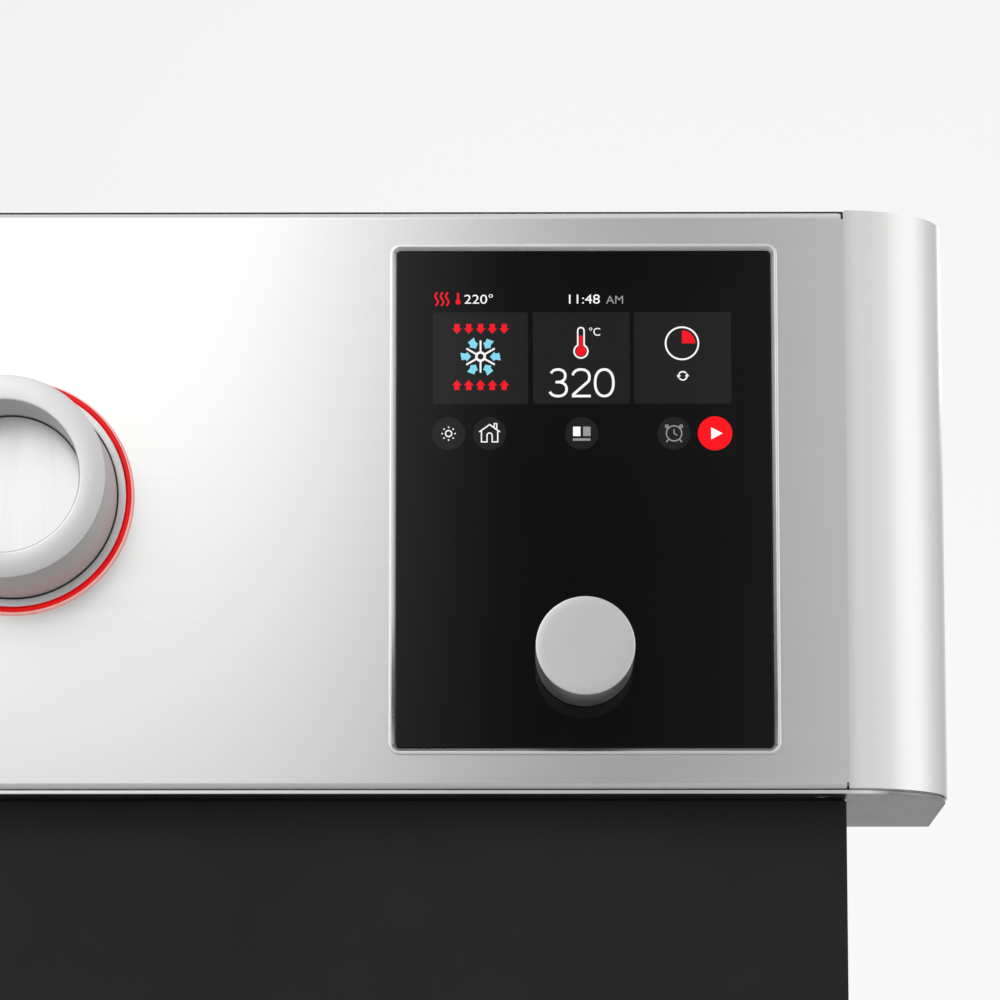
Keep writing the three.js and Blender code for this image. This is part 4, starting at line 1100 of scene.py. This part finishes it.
def add_light_ring():
    """The red guide shows as a narrow band, in a pale translucent lip."""
    low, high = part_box("light_ring")
    centre = (low + high) / 2
    front, back = low.y / MM, high.y / MM
    flange = back - 1.7
    core_inner, core_outer, outer = 34.65, 35.9, 36.2
    foot_inner, foot_outer = 34.4, 38.4
    guide_front = front + 0.15
    guide_end = [(core_outer, back), (foot_inner, back)]
    guide = filleted([(core_inner, guide_front, 0.3), (core_outer, guide_front, 0.2), *guide_end])
    lip = filleted(
        [
            (core_outer, front, 0.1),
            (outer, front, 0.3),
            (outer, flange),
            (foot_outer, flange),
            (foot_outer, back),
            (core_outer, back),
        ]
    )
    add_piece("light_ring_guide", lathe(guide, centre, 160), "panel", "red_light", "light_ring")
    add_piece("light_ring_lip", lathe(lip, centre, 160), "panel", "red_light", material=ring_edge())


def add_cup():
    low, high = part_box("burner_cup")
    front, back = low.y / MM, high.y / MM
    floor = back - 1.5
    mouth, wall, flange, hole = 31.9, 34.2, 43, 17
    profile = filleted(
        [
            (mouth, front, 0.25),
            (wall, front, 0.25),
            (wall, floor, 0.2),
            (flange, floor, 0.2),
            (flange, back, 0.2),
            (hole, back, 0.2),
            (hole, floor, 0.2),
            (mouth + 0.2, floor, 0.4),
        ]
    )
    satin = turned_metal("cup_satin", "burner_cup", (0.66, 0.66, 0.66), (0.34, 0.44))
    mesh = lathe(profile, (low + high) / 2, 160)
    add_piece("burner_cup_spinning", mesh, "panel", "satin_aluminium", "burner_cup", material=satin)


def add_burner_knob():
    low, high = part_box("burner_knob")
    front, rear = low.y / MM, high.y / MM
    radius = (high.x - low.x) / 2 / MM
    bore, edge = 23, radius - 0.7
    crown_start, crown_drop = bore + 1.5, 1.0
    crown = []
    for reach in (1, 2, 3, 4, 5):
        crown.append((crown_start + reach, front + crown_drop * (reach / (edge - crown_start)) ** 2))
    web_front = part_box("burner_knob_disc")[1].y / MM + 0.1
    web_back = web_front + 2.2
    hollow_front = front + 6.9
    profile = filleted(
        [
            (0, web_front),
            (bore, web_front, 0.4),
            (bore, front, 0.8),
            *crown,
            (edge, front + crown_drop, 0.25),
            (radius, rear, 0.3),
            (radius - 2, rear, 0.3),
            (edge - 2, hollow_front),
            (bore + 2, hollow_front),
            (bore + 2, web_back),
            (0, web_back),
        ],
        6,
    )
    satin = turned_metal("ring_knob_satin", "burner_knob", (0.66, 0.66, 0.66), (0.46, 0.56))
    mesh = lathe(profile, (low + high) / 2, 160)
    add_piece("burner_knob_ring", mesh, "burner_control", "satin_aluminium", "burner_knob", material=satin)


def add_knob_disc():
    """The disc in the knob's recess: slightly domed at its edge and brushed straight across."""
    low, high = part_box("burner_knob_disc")
    front, back = low.y / MM, high.y / MM
    radius = (high.x - low.x) / 2 / MM
    corners = [(radius - 1, front), (radius, front + 0.03, 0.3), (radius, back, 0.2), (radius - 1, back)]
    edge = filleted(corners)[1:-1]
    profile = [(0, front), (radius - 2, front), *edge, (0, back)]
    brushed = Surface("disc_brushed", (0.74, 0.74, 0.735), 0.3, 1.0)
    lines = brushed.noise(1, (2600, 2600, 60), 3)
    brushed.vary_roughness(brushed.noise(1, (400, 400, 30), 3), 0.30, 0.34)
    brushed.tint(lines, (0.70, 0.70, 0.695), 0.8)
    brushed.emboss(lines, 0.0000002)
    mesh = lathe(profile, (low + high) / 2, 128)
    steel = brushed.material
    add_piece("burner_knob_face", mesh, "burner_control", "brushed_steel", "burner_knob_disc", material=steel)


# ---------------------------------------------------------------- pieces made from their CAD shapes

SOFT_EDGE = {"brass": 0.2, "cast_aluminium": 0.35, "black_plastic": 0.2, "black_rubber": 0.12}


def add_from_cad(node):
    """A copy of a CAD node with one face per flat, its edges broken as the real part's are."""
    bm = bmesh.new()
    bm.from_mesh(frame["nodes"][node].data)
    bmesh.ops.remove_doubles(bm, verts=bm.verts, dist=1e-6)
    bmesh.ops.dissolve_limit(bm, angle_limit=math.radians(0.6), verts=bm.verts, edges=bm.edges)
    slot = SLOTS[node]
    width = SOFT_EDGE.get(slot, 0.12) * MM
    soften = {"width": width, "segments": 2, "limit_method": "ANGLE", "angle_limit": math.radians(32)}
    mesh = applied(node, to_mesh(bm, node, tidy=False), ("BEVEL", soften))
    material = base_steel_painted_shade() if node == "base_plate" else None
    even_flats(add_piece(f"{node}_part", mesh, BODY_OF[node], slot, node, material=material, sharp=60))


def add_spring():
    mesh = frame["nodes"]["tap_spring"].data.copy()
    bm = bmesh.new()
    bm.from_mesh(mesh)
    bmesh.ops.remove_doubles(bm, verts=bm.verts, dist=1e-6)
    mesh = to_mesh(bm, "tap_spring")
    piece = add_piece("tap_spring_wire", mesh, BODY_OF["tap_spring"], "zinc_steel", "tap_spring", sharp=70)
    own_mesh(piece)


# ---------------------------------------------------------------- stage


def add_stage():
    bm = bmesh.new()
    bmesh.ops.create_grid(bm, x_segments=8, y_segments=8, size=8)
    bmesh.ops.translate(bm, verts=bm.verts, vec=(0, 0, FLOOR_Z))
    floor = add_object("floor", to_mesh(bm, "floor"))
    width = (PANEL_HIGH.x - PANEL_LOW.x) / MM - 2 * PLINTH_MARGIN
    low, high = FLOOR_Z, cad_box[0].z
    bm = bmesh.new()
    rings = []
    bevel = 0.8
    for inset, z in ((0, low), (0, high - bevel * MM), (bevel, high)):
        outline = rounded_rect(width - 2 * inset, PLINTH_DEPTH - 2 * inset, 3 - inset, (0, PLINTH_Y))
        rings.append([(x * MM, y * MM, z) for x, y in outline])
    skin(bm, rings, closed=False)
    plinth = add_object("plinth", to_mesh(bm, "plinth"))
    for part, material in ((floor, pale_floor()), (plinth, plinth_painted_shade())):
        part.data.materials.append(material)
        part.data.shade_smooth()
        part.data.set_sharp_from_angle(angle=math.radians(30))


add_camera()
add_world()
add_lights()
add_stage()

add_fascia()
add_notch_shade_tabs()
add_studs()
add_rim()
add_glass()
draw_display()
add_selector()
add_light_ring()
add_cup()
add_burner_knob()
add_knob_disc()
add_spring()

BUILT_ABOVE = {
    "fascia_panel",
    "display_rim",
    "front_glass",
    "selector_knob",
    "light_ring",
    "burner_cup",
    "burner_knob",
    "burner_knob_disc",
    "tap_spring",
}
for node in sorted(set(frame["nodes"]) - BUILT_ABOVE):
    add_from_cad(node)

bpy.context.scene.view_settings.view_transform = "Standard"
